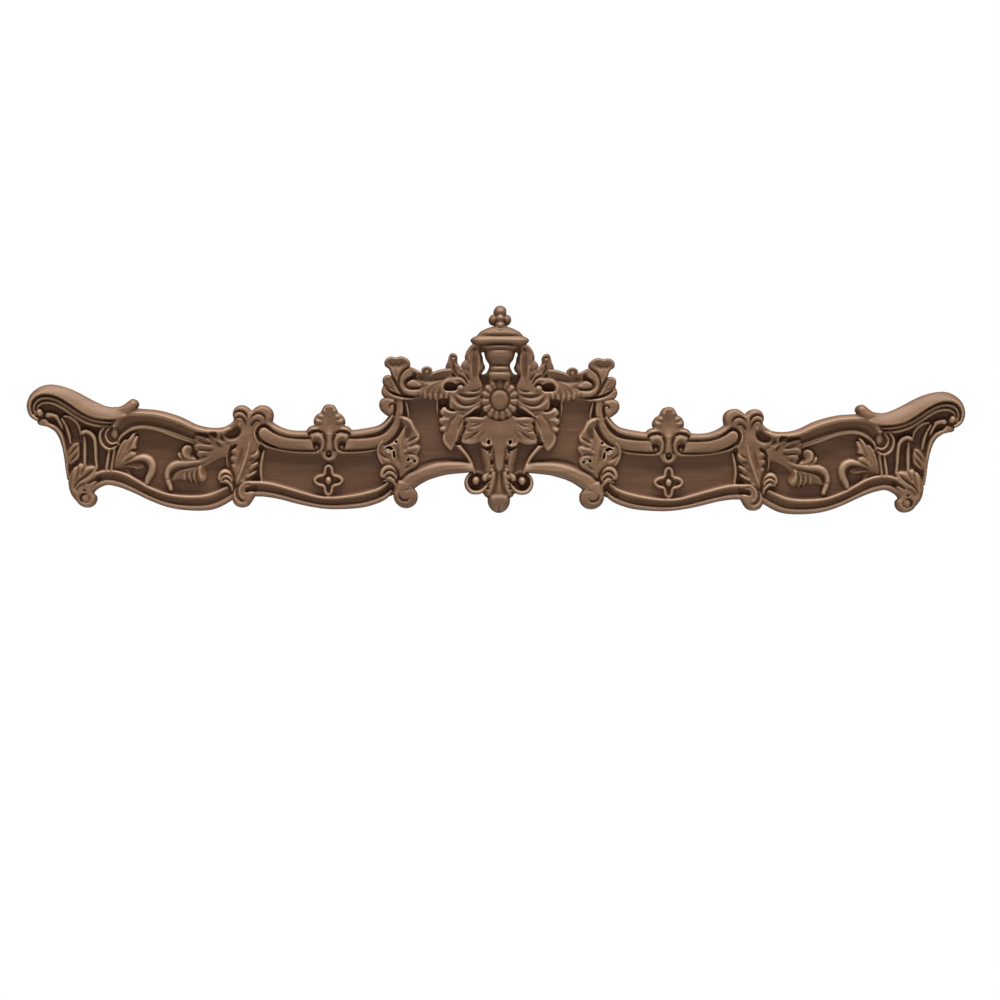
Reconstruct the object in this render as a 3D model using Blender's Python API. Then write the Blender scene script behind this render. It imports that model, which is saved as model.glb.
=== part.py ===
"""Carved wooden overdoor crest, one solid: a flat back and a front carved in relief.

The carving is described on its right half, in millimetres: u is the distance out from the
middle, v is the height above the middle of the rosette, and each point of the front has a
height over the back. The left half is its mirror image. In the model X runs along the length,
Z is up, the back lies in the plane Y = 0 and the front looks towards -Y.
"""
import math

import bmesh
import bpy
import numpy as np

# Overall sizes, in millimetres
HALF_LENGTH = 469.0
TOP = 95.7
FOOT = -111.5

# Heights over the back
GROUND = 6.5          # sunk panels
EDGE = 8.0            # thickness at the outline
LOW = 9.5             # body under leaves
BEAD = 12.5           # thin inner beads
LEAF = 15.0           # leaves
RAIL = 16.5           # crown of the rails
HORN = 18.5           # crown of the horns
BOSS = 23.5           # rosette and urn

# Grid of the carving and the number of triangles of the finished solid
STEP = 1.25
TRIANGLES = 9400
U_LIMIT = 475.0
V_LOW = -116.0
V_HIGH = 100.0

MM = 0.001
WOOD_COLOUR = (0.30, 0.165, 0.10, 1.0)
WOOD_ROUGHNESS = 0.62


# Lines and cross-sections


def curve(points, parts=8):
    """A smooth line through a few points."""
    p = np.array(points, float)
    if len(p) < 3:
        t = np.linspace(0, 1, 4)[:, None]
        return p[0] * (1 - t) + p[-1] * t
    ends = np.vstack([2 * p[0] - p[1], p, 2 * p[-1] - p[-2]])
    t = np.linspace(0, 1, parts, endpoint=False)[:, None]
    out = []
    for a, b, c, d in zip(ends[:-3], ends[1:-2], ends[2:-1], ends[3:]):
        before = max(np.linalg.norm(b - a), 1e-6) ** 0.5
        here = max(np.linalg.norm(c - b), 1e-6) ** 0.5
        after = max(np.linalg.norm(d - c), 1e-6) ** 0.5
        m1 = here * ((b - a) / before - (c - a) / (before + here) + (c - b) / here)
        m2 = here * ((c - b) / here - (d - b) / (here + after) + (d - c) / after)
        blend = (2 * t**3 - 3 * t**2 + 1) * b + (t**3 - 2 * t**2 + t) * m1
        out.append(blend + (3 * t**2 - 2 * t**3) * c + (t**3 - t**2) * m2)
    out.append(p[-1:])
    return np.vstack(out)


def arc(centre, first_radius, last_radius, first_angle, last_angle, count=11):
    """Points along a circle or spiral; angles in degrees."""
    radii = np.linspace(first_radius, last_radius, count)
    angles = np.radians(np.linspace(first_angle, last_angle, count))
    return [(centre[0] + r * math.cos(a), centre[1] + r * math.sin(a)) for r, a in zip(radii, angles)]


def ease(t):
    return t * t * (3 - 2 * t)


def round_section(a):
    return np.sqrt(np.maximum(0, 1 - a * a))


def soft_section(a):
    return 1 - a * a


def full_section(a):
    return 1 - a**4


def line_distance(line, u, v):
    """Distance of each place from a line."""
    best = np.full(u.shape, 1e9)
    for (ax, ay), (bx, by) in zip(line[:-1], line[1:]):
        length = max(math.hypot(bx - ax, by - ay), 1e-9)
        tx, ty = (bx - ax) / length, (by - ay) / length
        along = np.clip((u - ax) * tx + (v - ay) * ty, 0, length)
        best = np.minimum(best, (u - ax - along * tx) ** 2 + (v - ay - along * ty) ** 2)
    return np.sqrt(best)


def within(ring, u, v):
    """True for each place inside a closed line."""
    inside = np.zeros(u.shape, bool)
    for (ax, ay), (bx, by) in zip(ring, np.roll(ring, -1, axis=0)):
        if ay != by:
            crossing = (bx - ax) * (v - ay) / (by - ay) + ax
            inside ^= ((ay > v) != (by > v)) & (u < crossing)
    return inside


class Carving:
    """Heights of the front of the right half on a square grid."""

    def __init__(self, step):
        self.step = step
        self.u, self.v = np.meshgrid(np.arange(0, U_LIMIT, step), np.arange(V_LOW, V_HIGH, step))
        self.height = np.zeros_like(self.u)
        self.margin = np.zeros_like(self.u)
        self.inside = np.full_like(self.u, -9.0)

    def window(self, line, reach):
        """The part of the grid around a line."""
        low, high = line.min(0) - reach, line.max(0) + reach
        rows, columns = self.u.shape
        i0 = max(0, int(low[0] / self.step))
        i1 = min(columns, int(high[0] / self.step) + 2)
        j0 = max(0, int((low[1] - V_LOW) / self.step))
        j1 = min(rows, int((high[1] - V_LOW) / self.step) + 2)
        return slice(j0, j1), slice(i0, i1)

    def add(self, part, height, into, cut=0.0, replace=False):
        """Adds a shape where into (depth within its outline) is above 0, with a sunk margin cut mm wide."""
        old = self.height[part]
        if cut:
            ring = (into <= 0) & (into > -cut)
            old = np.where(ring, np.maximum(old - 2.5 * (1 + into / cut), np.minimum(old, GROUND - 2)), old)
        new = height if replace else np.maximum(old, height)
        self.height[part] = np.where(into > 0, new, old)
        near = into > -1.6 * self.step
        self.margin[part] = np.where(near, np.maximum(self.margin[part], height), self.margin[part])
        self.inside[part] = np.maximum(self.inside[part], into)

    def strip(self, points, width, top, section=round_section, foot=6.5, cut=0.0):
        """A raised strip along a line; width is its half width, which may change along it, as may the top."""
        line = curve(points)
        part = self.window(line, np.max(width) + cut + 2 * self.step)
        u, v = self.u[part], self.v[part]
        best = np.full(u.shape, 1e9)
        share = np.zeros(u.shape)
        lengths = np.hypot(*np.diff(line, axis=0).T)
        marks = np.concatenate([[0], np.cumsum(lengths)])
        for (a, b), length, mark in zip(zip(line[:-1], line[1:]), lengths, marks):
            if length < 1e-9:
                continue
            tx, ty = (b - a) / length
            along = np.clip((u - a[0]) * tx + (v - a[1]) * ty, 0, length)
            distance = (u - a[0] - along * tx) ** 2 + (v - a[1] - along * ty) ** 2
            closer = distance < best
            best = np.where(closer, distance, best)
            share = np.where(closer, (mark + along) / marks[-1], share)
        half = along_line(share, width)
        distance = np.sqrt(best)
        height = foot + (along_line(share, top) - foot) * section(np.clip(distance / half, 0, 1))
        self.add(part, height, half - distance, cut)

    def field(self, ring, height):
        """A level field inside a closed line."""
        ring = np.array(ring, float)
        part = self.window(ring, 2 * self.step)
        u, v = self.u[part], self.v[part]
        away = line_distance(np.vstack([ring, ring[:1]]), u, v)
        into = np.where(within(ring, u, v), away, -away)
        self.add(part, np.full(u.shape, float(height)), into)

    def moulding(self, outer, inner, section):
        """A moulding between two lines; the section gives heights at shares of the way across."""
        first, last = curve(outer), curve(inner)
        ring = np.vstack([first, last[::-1]])
        part = self.window(ring, 2 * self.step)
        u, v = self.u[part], self.v[part]
        to_first, to_last = line_distance(first, u, v), line_distance(last, u, v)
        away = line_distance(np.vstack([ring, ring[:1]]), u, v)
        inside = within(ring, u, v)
        across = np.where(inside, to_first / np.maximum(to_first + to_last, 1e-9), to_first > to_last)
        shares, heights = np.array(section, float).T
        k = np.clip(np.searchsorted(shares, across, side="right") - 1, 0, len(shares) - 2)
        t = np.clip((across - shares[k]) / (shares[k + 1] - shares[k]), 0, 1)
        height = heights[k] + (heights[k + 1] - heights[k]) * ease(t)
        self.add(part, height, np.where(inside, away, -away))

    def boss(self, centre, radius, top, section=round_section, foot=6.5, stretch=1.0, turn=0.0, cut=0.0, replace=False):
        """A round or oval boss; stretch lengthens it along the direction turn + 90 degrees."""
        part = self.window(np.array([centre], float), radius * stretch + cut + 2 * self.step)
        away = self.oval(part, centre, stretch, turn)
        height = foot + (top - foot) * section(np.clip(away / radius, 0, 1))
        self.add(part, height, (radius - away) * min(1, stretch), cut, replace)

    def hollow(self, centre, radius, floor, stretch=1.0, turn=0.0):
        """A round or oval hollow down to the given floor."""
        part = self.window(np.array([centre], float), radius * stretch + self.step)
        share = np.clip(self.oval(part, centre, stretch, turn) / radius, 0, 1)
        old = self.height[part]
        sunk = floor + (old - floor) * share**4
        self.height[part] = np.where(share < 1, np.minimum(old, sunk), old)

    def oval(self, part, centre, stretch, turn):
        u, v = self.u[part] - centre[0], self.v[part] - centre[1]
        c, s = math.cos(math.radians(turn)), math.sin(math.radians(turn))
        return np.hypot(u * c + v * s, (v * c - u * s) / stretch)

    def groove(self, points, width, depth):
        line = curve(points)
        part = self.window(line, width + self.step)
        a = np.clip(line_distance(line, self.u[part], self.v[part]) / width, 0, 1)
        self.height[part] -= depth * (1 - a * a)

    def pierce(self, ring):
        """An opening right through, with the given closed outline."""
        ring = np.array(ring, float)
        part = self.window(ring, 2 * self.step)
        u, v = self.u[part], self.v[part]
        away = line_distance(np.vstack([ring, ring[:1]]), u, v)
        outside = np.where(within(ring, u, v), -away, away)
        self.margin[part] = np.maximum(self.margin[part], self.height[part])
        self.inside[part] = np.minimum(self.inside[part], outside)

    def lobes(self, roots, tips, width, top, rise=1.5, cut=0.6):
        """Leaf lobes from points spread along the root line to each tip, each bowed up by rise."""
        start, end = np.array(roots, float)
        for share, tip in zip(np.linspace(0, 1, len(tips)), np.array(tips, float)):
            root = start + (end - start) * share
            middle = (root + tip) / 2 + np.array((0.0, rise))
            self.strip([root, middle, tip], [0.7 * width, width, 0.8 * width], top, soft_section, cut=cut)


def along_line(share, values):
    """The value at each share of the way along a line."""
    values = np.atleast_1d(np.array(values, float))
    if len(values) == 1:
        return values[0]
    return np.interp(share, np.linspace(0, 1, len(values)), values)


# Rails: their outer and inner lines, and the sections across them

WING_TOP = [(256, -18), (264, -23.5), (284, -28.5), (299, -26), (319, -17), (339, -11.5), (352, -10.3), (362, -10)]
WING_TOP_IN = [(262, -44), (276, -46.5), (290, -47), (304, -44.5), (324, -38), (344, -31.8), (356, -30.2), (369, -35)]
WING_LOW = [(262, -98), (279.5, -108), (289, -110.6), (309, -111), (329, -108), (347, -101.5), (379, -88), (391, -86.3), (400, -90)]
WING_LOW_IN = [(262, -84), (270, -86), (289.5, -94.5), (309, -96.7), (329, -95), (347, -88.5), (369, -76), (379, -72.3), (401, -75)]
MIDDLE_TOP = [(108, -12), (111, -17.5), (121, -25), (135, -28), (150, -29.8), (192, -30.5), (214, -29), (225, -23), (230, -18)]
MIDDLE_TOP_IN = [(94, -25), (105, -38.5), (114, -45.5), (124, -50.5), (140, -52), (200, -52.5), (227, -48.5), (241, -38), (242, -30)]
MIDDLE_LOW = [(106, -92), (116, -100.5), (136, -107), (170, -108.8), (185, -107), (220, -99), (235, -96.8), (247, -96.8)]
MIDDLE_LOW_IN = [(110, -80), (121, -86.8), (141, -92.2), (171, -95.8), (192, -92.5), (208, -88), (228, -82.6), (249, -83)]
ARCH_TOP = [(26, -60), (40, -59), (55, -59.5), (65, -61), (75, -64.5), (86, -69), (94, -73.5), (101, -82)]
ARCH_LOW = [(26, -71), (40, -72.3), (52, -73.7), (60, -75.7), (70, -79), (78, -83.3), (86, -88.5), (92, -91)]
HORN_TOP = [(361.5, -8), (361.2, -3), (364.8, -0.4), (375, -7.3), (388, -8.4), (408, 0), (428, 9.6), (446, 13.3), (460, 7.8), (469, -6), (463.5, -19.5)]
HORN_LOW = [(361, -16.8), (378.5, -21.8), (398.5, -21.4), (414, -15), (430, -4), (446, 2), (459.5, -0.5), (463, -11), (459.5, -18)]

TOP_RAIL_SECTION = [(0, 9), (0.06, 12), (0.25, 17), (0.33, 16), (0.5, 10), (0.66, 8.4), (0.8, 9.5), (0.9, 12), (1, 8)]
LOW_RAIL_SECTION = [(0, 7.5), (0.1, 10.5), (0.2, 11.5), (0.34, 9.5), (0.5, 7.6), (0.66, 9.5), (0.82, 14.5), (0.93, 13.5), (1, 8)]
MIDDLE_RAIL_SECTION = [(0, 9), (0.1, 13), (0.22, 14.5), (0.34, 9.5), (0.88, 9.5), (0.94, 11.5), (1, 8)]
ARCH_SECTION = [(0, 9), (0.12, 13), (0.35, 15.5), (0.7, 14.5), (0.9, 11), (1, 8)]
HORN_SECTION = [(0, 9), (0.1, 12.5), (0.5, 16.5), (0.85, 18.5), (1, 17.5)]


def grounds(c):
    """Sunk fields between the rails."""
    c.field(np.vstack([curve(WING_TOP), [(372, -16), (420, -10), (428, -40), (424, -88)], curve(WING_LOW)[::-1]]), GROUND)
    c.field(np.vstack([curve(MIDDLE_TOP), [(247, -14), (258, -14), (270, -40), (268, -96)], curve(MIDDLE_LOW)[::-1]]), GROUND)
    upper = [(0, 50), (12, 50), (20, 46), (30, 38), (60, 24), (90, 20), (112, 10), (112, -16), (118, -26)]
    lower = [(118, -90), (104, -90), (80, -84), (60, -72), (40, -68), (26, -62), (24, -84), (8, -100), (0, -100)]
    c.field(upper + lower, GROUND)


def rails(c):
    c.moulding(ARCH_TOP, ARCH_LOW, ARCH_SECTION)
    c.moulding(MIDDLE_TOP, MIDDLE_TOP_IN, MIDDLE_RAIL_SECTION)
    flat_strip = [(98.5, -20), (103.5, -29.5), (111, -37), (122, -41.5), (136, -43), (165, -43.7), (200, -43.8), (215, -42), (229, -37)]
    c.strip(flat_strip, [5, 5.8, 6, 6.2, 7.5], 14.6, full_section, foot=10)
    c.moulding(MIDDLE_LOW, MIDDLE_LOW_IN, LOW_RAIL_SECTION)
    c.moulding(WING_TOP, WING_TOP_IN, TOP_RAIL_SECTION)
    bead = [(300, -44.2), (324, -36.5), (344, -30), (361, -29.3), (369, -32.3), (375, -36.5), (378, -41.5)]
    c.strip(bead, 1.7, BEAD)
    c.moulding(WING_LOW, WING_LOW_IN, LOW_RAIL_SECTION)


def horn(c):
    """The horn over the end, the crook and the folds below it."""
    upper = [(366, -14), (400, -18), (420, -6), (440, 3), (456, 2), (463, -8), (460, -19), (451, -27.5), (438, -36)]
    lower = [(432.3, -50), (429.5, -70), (426, -92), (420, -98), (405, -98), (398, -74), (398, -40), (370, -24)]
    c.field(upper + lower, GROUND)
    c.moulding(HORN_TOP, HORN_LOW, HORN_SECTION)
    first = [(372, -22.5), (388.6, -24.7), (406.5, -21.2), (422.4, -12.2), (438.2, -2.3), (453, -0.6), (460.6, -8)]
    c.strip(first, [1.5, 2.4, 2.4, 2.2], RAIL, cut=0.7)
    second = [(378, -28.3), (390, -28.4), (408.5, -24), (424, -14.6), (440, -6), (448, -5), (457, -10)]
    c.strip(second, [1.4, 2.1, 2.1, 1.8], LEAF, cut=0.7)
    c.boss((457.6, -13.6), 3.7, RAIL, cut=1.0)
    c.strip([(434, -19.5), (446, -14.5), (451, -21)], 2.4, 14, cut=0.8)
    c.strip([(455, -19), (453.5, -23), (448, -26.5)], 2.5, 14, cut=0.6)
    edge = [(462, -22.3), (457.3, -26), (447, -29), (438.5, -35.5), (432, -52), (429.7, -68), (428.2, -80)]
    c.strip(edge, [1.8, 2.1, 1.8, 1.8], 13)
    c.strip([(433.5, -21), (422.5, -22), (417.5, -28), (416, -35)], 1.9, 14)
    c.strip([(431.5, -22.5), (426.5, -38), (425.5, -46)], 1.9, 13.5)
    crook = [(401, -68), (401.6, -45), (403.8, -37), (408.5, -33.3), (413.8, -36.6)]
    c.strip(crook, 2.3, 14.5, cut=0.8)
    c.strip([(411, -39), (409.8, -50), (409.6, -67)], 1.7, BEAD)
    c.lobes([(417.5, -46), (418.4, -60)], [(429, -57), (424, -61), (424, -66)], 2.4, 13.5, 1.0)


def end_leaf(c):
    c.field([(399, -67), (416, -65.3), (426, -80), (426.5, -90), (418, -92), (404, -90)], LOW)
    c.strip([(399, -68.3), (415, -67.3), (421, -72), (426.5, -90)], 2.1, LEAF)
    c.strip([(401.5, -72), (410, -78), (418, -85), (423, -93)], 2.8, LEAF, cut=0.7)
    c.strip([(401, -78), (407, -84), (411, -91)], 2.6, 13, cut=0.6)
    foot_scroll(c, (411.2, -98.9), 8.6, (424.5, -88), 3.4)


def foot_scroll(c, centre, radius, start, eye):
    """A scroll that ends a rail at its foot, with a ball for an eye."""
    c.boss(centre, radius + 1.5, 9, full_section)
    turns = arc(centre, radius, radius, 20, -230, 12)
    c.strip([start] + turns, [1.8, 2.3, 2.4, 2.2], 15.5)
    c.boss(centre, eye + 2, GROUND, full_section, replace=True, foot=GROUND)
    c.boss(centre, eye, 15.5)


def wing_volute(c):
    """The scroll where the wing's top rail ends, with two reeds below it."""
    centre = (382.5, -37)
    c.boss(centre, 12.6, 7.5, full_section, replace=True, foot=7.5)
    c.strip(arc(centre, 14, 12.8, 95, -100), [2.4, 2.2, 1.8], 17)
    c.strip(arc(centre, 8.6, 9.4, 60, -250, 14), [2.0, 1.8, 1.6], LEAF)
    c.boss(centre, 6.6, GROUND, full_section, replace=True, foot=GROUND)
    c.boss(centre, 5.4, 16.5)
    for u in (384, 389):
        c.strip([(u - 1.5, -51), (u, -58), (u + 3, -69)], 2.4, 14)


def wing_leaves(c):
    """The two leaf sprays in the wing's panel."""
    root = (380, -69)
    for tip, width in (((356, -34), 3.8), ((361, -34), 3.4), ((371, -41), 3.0), ((363, -49.5), 2.4)):
        middle = ((root[0] + tip[0]) / 2 + 1.5, (root[1] + tip[1]) / 2 - 1)
        c.strip([root, middle, tip], [0.6 * width, width, 0.7 * width], LEAF, soft_section, cut=0.6)
    curl = [root, (371, -62), (361, -57), (352, -57), (345.5, -62), (343.7, -70), (346, -77), (351, -87)]
    c.strip(curl, [2.8, 3.0, 2.6, 2.2, 1.6], [15.5, 15, 14, 12.5], cut=0.8)
    c.strip([root, (371, -69), (361, -65.5)], [2.4, 2.6, 1.4], 13)
    c.strip([(264, -48), (276, -48.5), (286, -50), (298, -57)], [2.6, 3.4, 3.2], [13.5, 15], cut=0.8)
    for tip in ((288, -35.5), (302, -35.5), (305, -46.5), (301, -57)):
        middle = ((283 + tip[0]) / 2, (-48 + tip[1]) / 2 + 1.5)
        c.strip([(283, -48), middle, tip], [2.2, 3.4, 2.4], LEAF, soft_section, cut=0.6)
    c.boss((310.5, -53.5), 5.4, LEAF, stretch=1.35, turn=-20, cut=0.6)
    c.strip([(314, -48), (319.5, -54), (314, -62), (306, -62.5)], 1.7, 13.5)
    curl = [(297, -61.5), (311, -60.5), (321.5, -62.5), (329, -67.5), (332, -75), (330, -83), (326.5, -94)]
    c.strip(curl, [3.6, 3.8, 2.8, 2.2, 1.5], [15, 15.5, 14, 12.5], cut=0.8)
    c.strip([(296, -62), (294, -70), (293, -79)], [3.0, 3.8, 3.2], 13.5, cut=0.6)
    for k in range(4):
        c.strip([(299 + 4 * k, -65), (301 + 4 * k, -80 - k % 2)], 2.3, 13)


def crown(c, side, middle, top, width):
    """One of the two rolled heads over the joint: three nested hooks that open towards the middle line."""
    for k, height in enumerate((17.5, 16.5, 15)):
        inset = 4.6 * k
        half = width / 2 - 0.75 * inset
        high = top - 1.4 * inset
        hook = [(middle - side * half, high - 12 + inset), (middle - side * 0.9 * half, high - 4), (middle, high)]
        hook += [(middle + side * 0.85 * half, high - 3.2), (middle + side * half, high - 9 + 0.6 * inset)]
        c.strip(hook, 2.3 - 0.3 * k, height, foot=8, cut=0.7 * (k > 0))


def joint(c):
    """The crown, hanging leaf, bud and scroll between the middle panel and the wing."""
    upper = [(259, -34), (262, -20), (263.5, -9), (257, -6), (246.5, -11), (236, -5.8), (225.5, -13), (229, -26), (246, -40)]
    c.field(upper, BEAD)
    crown(c, 1, 256.7, -7.4, 15.5)
    crown(c, -1, 235.3, -7.4, 16)
    body = [(247, -22), (256, -26), (260, -40), (268, -50), (271, -62), (270, -72), (261, -84), (244, -80), (241, -52)]
    c.field(body, 8.5)
    c.hollow((264.8, -33.5), 6.5, 5.5, 1.35, 18)
    c.strip([(256, -26), (264, -25.5), (272, -30), (278.5, -38), (272.5, -46)], 1.8, 14.5)
    c.strip([(257, -27), (256.5, -34), (260, -41), (267, -46)], 1.6, 13)
    for k, out in enumerate((262, 268.5, 271.5, 271)):
        v = -45 - 8 * k
        c.strip([(252, v - 9), (258, v - 5), (out - 1.5, v)], [2.4, 4.0, 2.8], LEAF, soft_section, cut=0.5)
        c.strip([(250.5 + k, v - 12), (246, v - 9), (242.5, v - 6)], [2.2, 2.8, 1.8], 14, soft_section, cut=0.5)
    c.strip([(258, -82), (264, -77), (268, -72)], 2.8, 13.5)
    c.strip([(246, -26), (243, -34), (237.5, -47)], [1.8, 2.2, 1.5], 13.5)
    c.strip([(235.5, -49), (238, -63), (236.8, -80)], 1.6, BEAD)
    c.strip([(247, -18), (247.3, -30), (249.7, -45), (253.6, -60), (262, -84)], [2.1, 2, 1.9, 1.5], RAIL, cut=0.8)
    bud(c, (271.7, -78.5), 8.0, 0)
    foot_scroll(c, (254.8, -97.3), 8.2, (249.5, -84), 3.0)


def bud(c, centre, radius, turn):
    """A hooded bud: nested arches over one root."""
    c.boss(centre, radius + 0.5, LOW, full_section)
    for k in range(3):
        r = radius * (1 - 0.36 * k)
        c.strip(arc((centre[0], centre[1] - 1.2 * k), r, r, 205 + turn, -35 + turn, 9), 2.1 - 0.3 * k, LEAF, cut=0.7 * (k > 0))


def palmette(c):
    """The fan of leaves on the middle rail, over two volutes and a ball."""
    middle = 169.4
    half = [(0, -5), (6, -7), (10, -13), (14, -19), (17, -25), (22, -30), (18, -44), (14, -54), (6, -61), (0, -62)]
    c.field([(middle + u, v) for u, v in half] + [(middle - u, v) for u, v in half[::-1]], LOW)
    c.strip([(middle, -30), (middle - 0.5, -18), (middle - 1, -8)], 3.1, RAIL, soft_section)
    for side in (-1, 1):
        for k in range(4):
            tip = (middle + side * (5.6 + 3.6 * k), -9 - 5.5 * k)
            root = (middle + side * 2, -31)
            bend = (middle + side * (3.6 + 2.3 * k), -19.5 - 3.2 * k)
            c.strip([root, bend, tip], [1.8, 3.0, 2.5], 16 - 0.5 * k, soft_section, cut=0.5)
        c.strip([(middle + side * u, v) for u, v in ((24, -31.5), (20, -33), (17.5, -37))], 1.9, 14)
        volute = [(18.3, -38), (16.3, -33.8), (11.5, -32.5), (7.3, -36.5), (6.3, -44), (8.8, -50), (12.5, -52.5)]
        c.strip([(middle + side * u, v) for u, v in volute], [1.6, 2.1, 2.0, 1.7], 15.5, cut=0.7)
        c.hollow((middle + side * 12.5, -43), 4.2, 6, 1.7)
        c.boss((middle + side * 12.2, -46.3), 3.0, 14.5, foot=4)
    c.strip([(middle, -28), (middle, -50)], 3.3, 15.5, cut=0.7)
    c.hollow((middle, -54.2), 3.6, 4)
    c.boss((middle, -53.4), 2.3, 14.5, foot=3)
    c.strip(arc((middle, -51.5), 8.5, 8.5, 180, 360, 9), [1.8, 2.4, 1.8], 14.5)


def quatrefoil(c):
    """Four hollow petals around an oval ball."""
    centre = np.array((169.5, -80.5))
    for angle, reach in ((90, 10), (270, 10), (0, 9.2), (180, 9.2)):
        way = np.array((math.cos(math.radians(angle)), math.sin(math.radians(angle))))
        c.strip([centre, centre + way * reach], [4.4, 5.7], BEAD, full_section)
    for angle in (90, 270, 0, 180):
        way = np.array((math.cos(math.radians(angle)), math.sin(math.radians(angle))))
        c.hollow(centre + way * 8.6, 3.4, 7)
    c.boss(centre, 5.2, 7, full_section, foot=7, stretch=1.15, replace=True)
    c.boss(centre, 3.8, LEAF, stretch=1.25)


def bracket(c):
    """The acanthus bracket between the crest and the middle panel."""
    right = [(84, 6), (116, 4), (119, -2), (118, -10), (112, -16), (118, -30), (121, -48), (118, -62), (119, -74), (105, -92)]
    left = [(100, -104), (90, -106), (82, -100), (83, -88), (98, -80), (101, -68), (84, -63), (80, -50), (80, -36), (92, -14)]
    c.field(right + left, 8.5)
    c.strip([(112, -14.5), (116.5, -9.5), (118.2, -3), (116, 3)], 2.1, 16)
    c.strip([(103.6, -12), (104.2, -6), (107, -3.6), (109.8, -6), (111, -11)], 1.9, 15.5, cut=0.7)
    for u in (93, 99):
        c.strip([(u, -14), (u + 0.5, -8), (u + 1, 0)], 2.0, LEAF, cut=0.7)
    c.strip([(99.5, -16), (94, -18.5), (88.5, -22.5), (85, -29), (84.5, -34)], 2.5, RAIL, cut=0.7)
    c.lobes([(105, -20), (110, -50)], [(86, -38), (82, -44), (81.5, -52), (83.5, -61), (96, -66)], 3.9, LEAF, 2.5)
    right_edge = [(103, -16), (106, -26), (112, -36), (118.5, -42.5), (122, -49), (118.3, -62)]
    c.strip(right_edge, [2.2, 2.5, 2.3, 1.9], 15.5, cut=0.7)
    c.strip([(113, -44), (115.5, -52), (114.5, -60)], 2.6, 13.5)
    for centre in ((102.7, -41.3), (109.5, -47.5), (104.6, -55.5), (90.7, -59)):
        c.hollow(centre, 2.0, 5)
    bud(c, (110.3, -74.5), 8.8, 0)
    c.strip([(103.5, -79), (103.3, -86), (106.5, -92.5)], 1.9, 13.5)
    foot_scroll(c, (92.8, -96.2), 9.3, (101.5, -84), 3.2)


def crest(c):
    """Leaf, scroll, band and rolled head beside the urn."""
    upper = [(12, 24), (13, 30), (9, 34), (9, 39), (14, 47), (15, 56), (20, 57), (27, 56.8), (33, 50.5), (36, 41), (40, 35)]
    lower = [(52, 33), (66, 29), (76, 32), (86, 28), (84, 12), (60, 4), (20, 6)]
    c.field(upper + lower, LOW)
    c.strip([(20, 52), (21, 44), (19.5, 37), (20.5, 29), (22.5, 22)], [2.2, 3.2, 3.0, 2.2], LEAF, soft_section, cut=0.5)
    c.strip([(25, 53.5), (27.5, 45), (27, 36), (25.5, 27)], [2.4, 3.6, 3.2, 2.2], 15.5, soft_section, cut=0.5)
    c.strip([(22.5, 54.5), (28.5, 53.3), (32, 48), (33.5, 41), (32, 33), (33, 27)], 2.5, 16, cut=0.6)
    c.boss((47, 41), 5.2, BEAD, full_section)
    c.strip([(43.5, 37), (43.2, 43), (47, 46), (51, 43.5), (53, 38), (54, 32.5)], 1.9, LEAF)
    c.boss((46.8, 41.5), 2.6, LEAF)
    c.boss((44, 15.5), 12, 7, full_section, foot=7, replace=True)
    c.strip([(33, 24), (37, 27), (46, 29), (54, 26), (59, 19.5), (59.5, 11)], 2.5, 15.5)
    c.strip([(36, 20), (42, 22.8), (48, 22.5), (55.6, 14.5), (54, 8)], 1.8, 14, cut=0.7)
    c.boss((39, 13.3), 4.6, 15.5, cut=0.8)
    c.strip([(52, 31.5), (59, 30.3), (67, 27.8), (76, 27.5), (84, 27.5)], 2.4, 14.5)
    c.boss((73, 29.5), 4.8, RAIL)
    c.lobes([(61, 20), (87, 15)], [(57 + 5.2 * k, 3.5) for k in range(6)], 2.9, 13.5, 0.0)
    curl = [(82, 29), (90, 27), (95, 23), (97, 18), (95, 12), (88, 9), (80, 10), (72.5, 14), (66, 19)]
    c.strip(curl, [2.1, 2.4, 2.3, 1.8], 15.5, cut=0.7)
    head = [(88, 30), (92, 39), (98, 42.5), (110, 41.5), (113.5, 37), (107, 30), (112, 23.5), (114.5, 20), (115.5, 10.5), (116.5, 1), (98, 2)]
    c.field(head, LOW)
    c.strip([(88, 31.5), (92.3, 34.5), (92.5, 38.5), (98.5, 41.5), (103, 41)], 2.1, RAIL)
    c.strip([(102, 40), (108.5, 41), (112.7, 37.5), (111.5, 33.5), (107, 30.5)], 2.3, RAIL, cut=0.6)
    c.strip([(92, 33.5), (98, 29), (101, 23), (101.5, 17), (98, 9.5)], 2.3, 15.5, cut=0.6)
    c.strip([(104, 36), (105.5, 31), (104.5, 19)], 2.5, 15.5)
    c.strip([(104, 21), (108.5, 23.2), (113, 22.3), (114.8, 17.5), (111, 14)], 2.1, 15.5, cut=0.6)
    c.strip([(110, 15), (114.3, 13.5), (115.4, 9), (112, 5.5)], 2.0, 14.5)
    c.strip([(80, 6.5), (88, 3.4), (95, 1.8), (103, 2.6), (110, 5.5), (115, 9.5)], 2.1, 14.5, cut=0.7)
    c.strip([(112, 5), (117, 3), (118.5, -2)], 1.9, LEAF)


def openings(c):
    """The ornamental slot beside the urn's stem."""
    ring = [(15.8, 48.5), (18.2, 48.5), (16.6, 43), (15, 36), (14.8, 33), (17.3, 27.8), (14.5, 27.8), (10.5, 34), (12.6, 41), (15.8, 48.5)]
    c.pierce(curve(ring, 4))


# Turned profile of the urn: height, half width, height of its middle over the back

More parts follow.
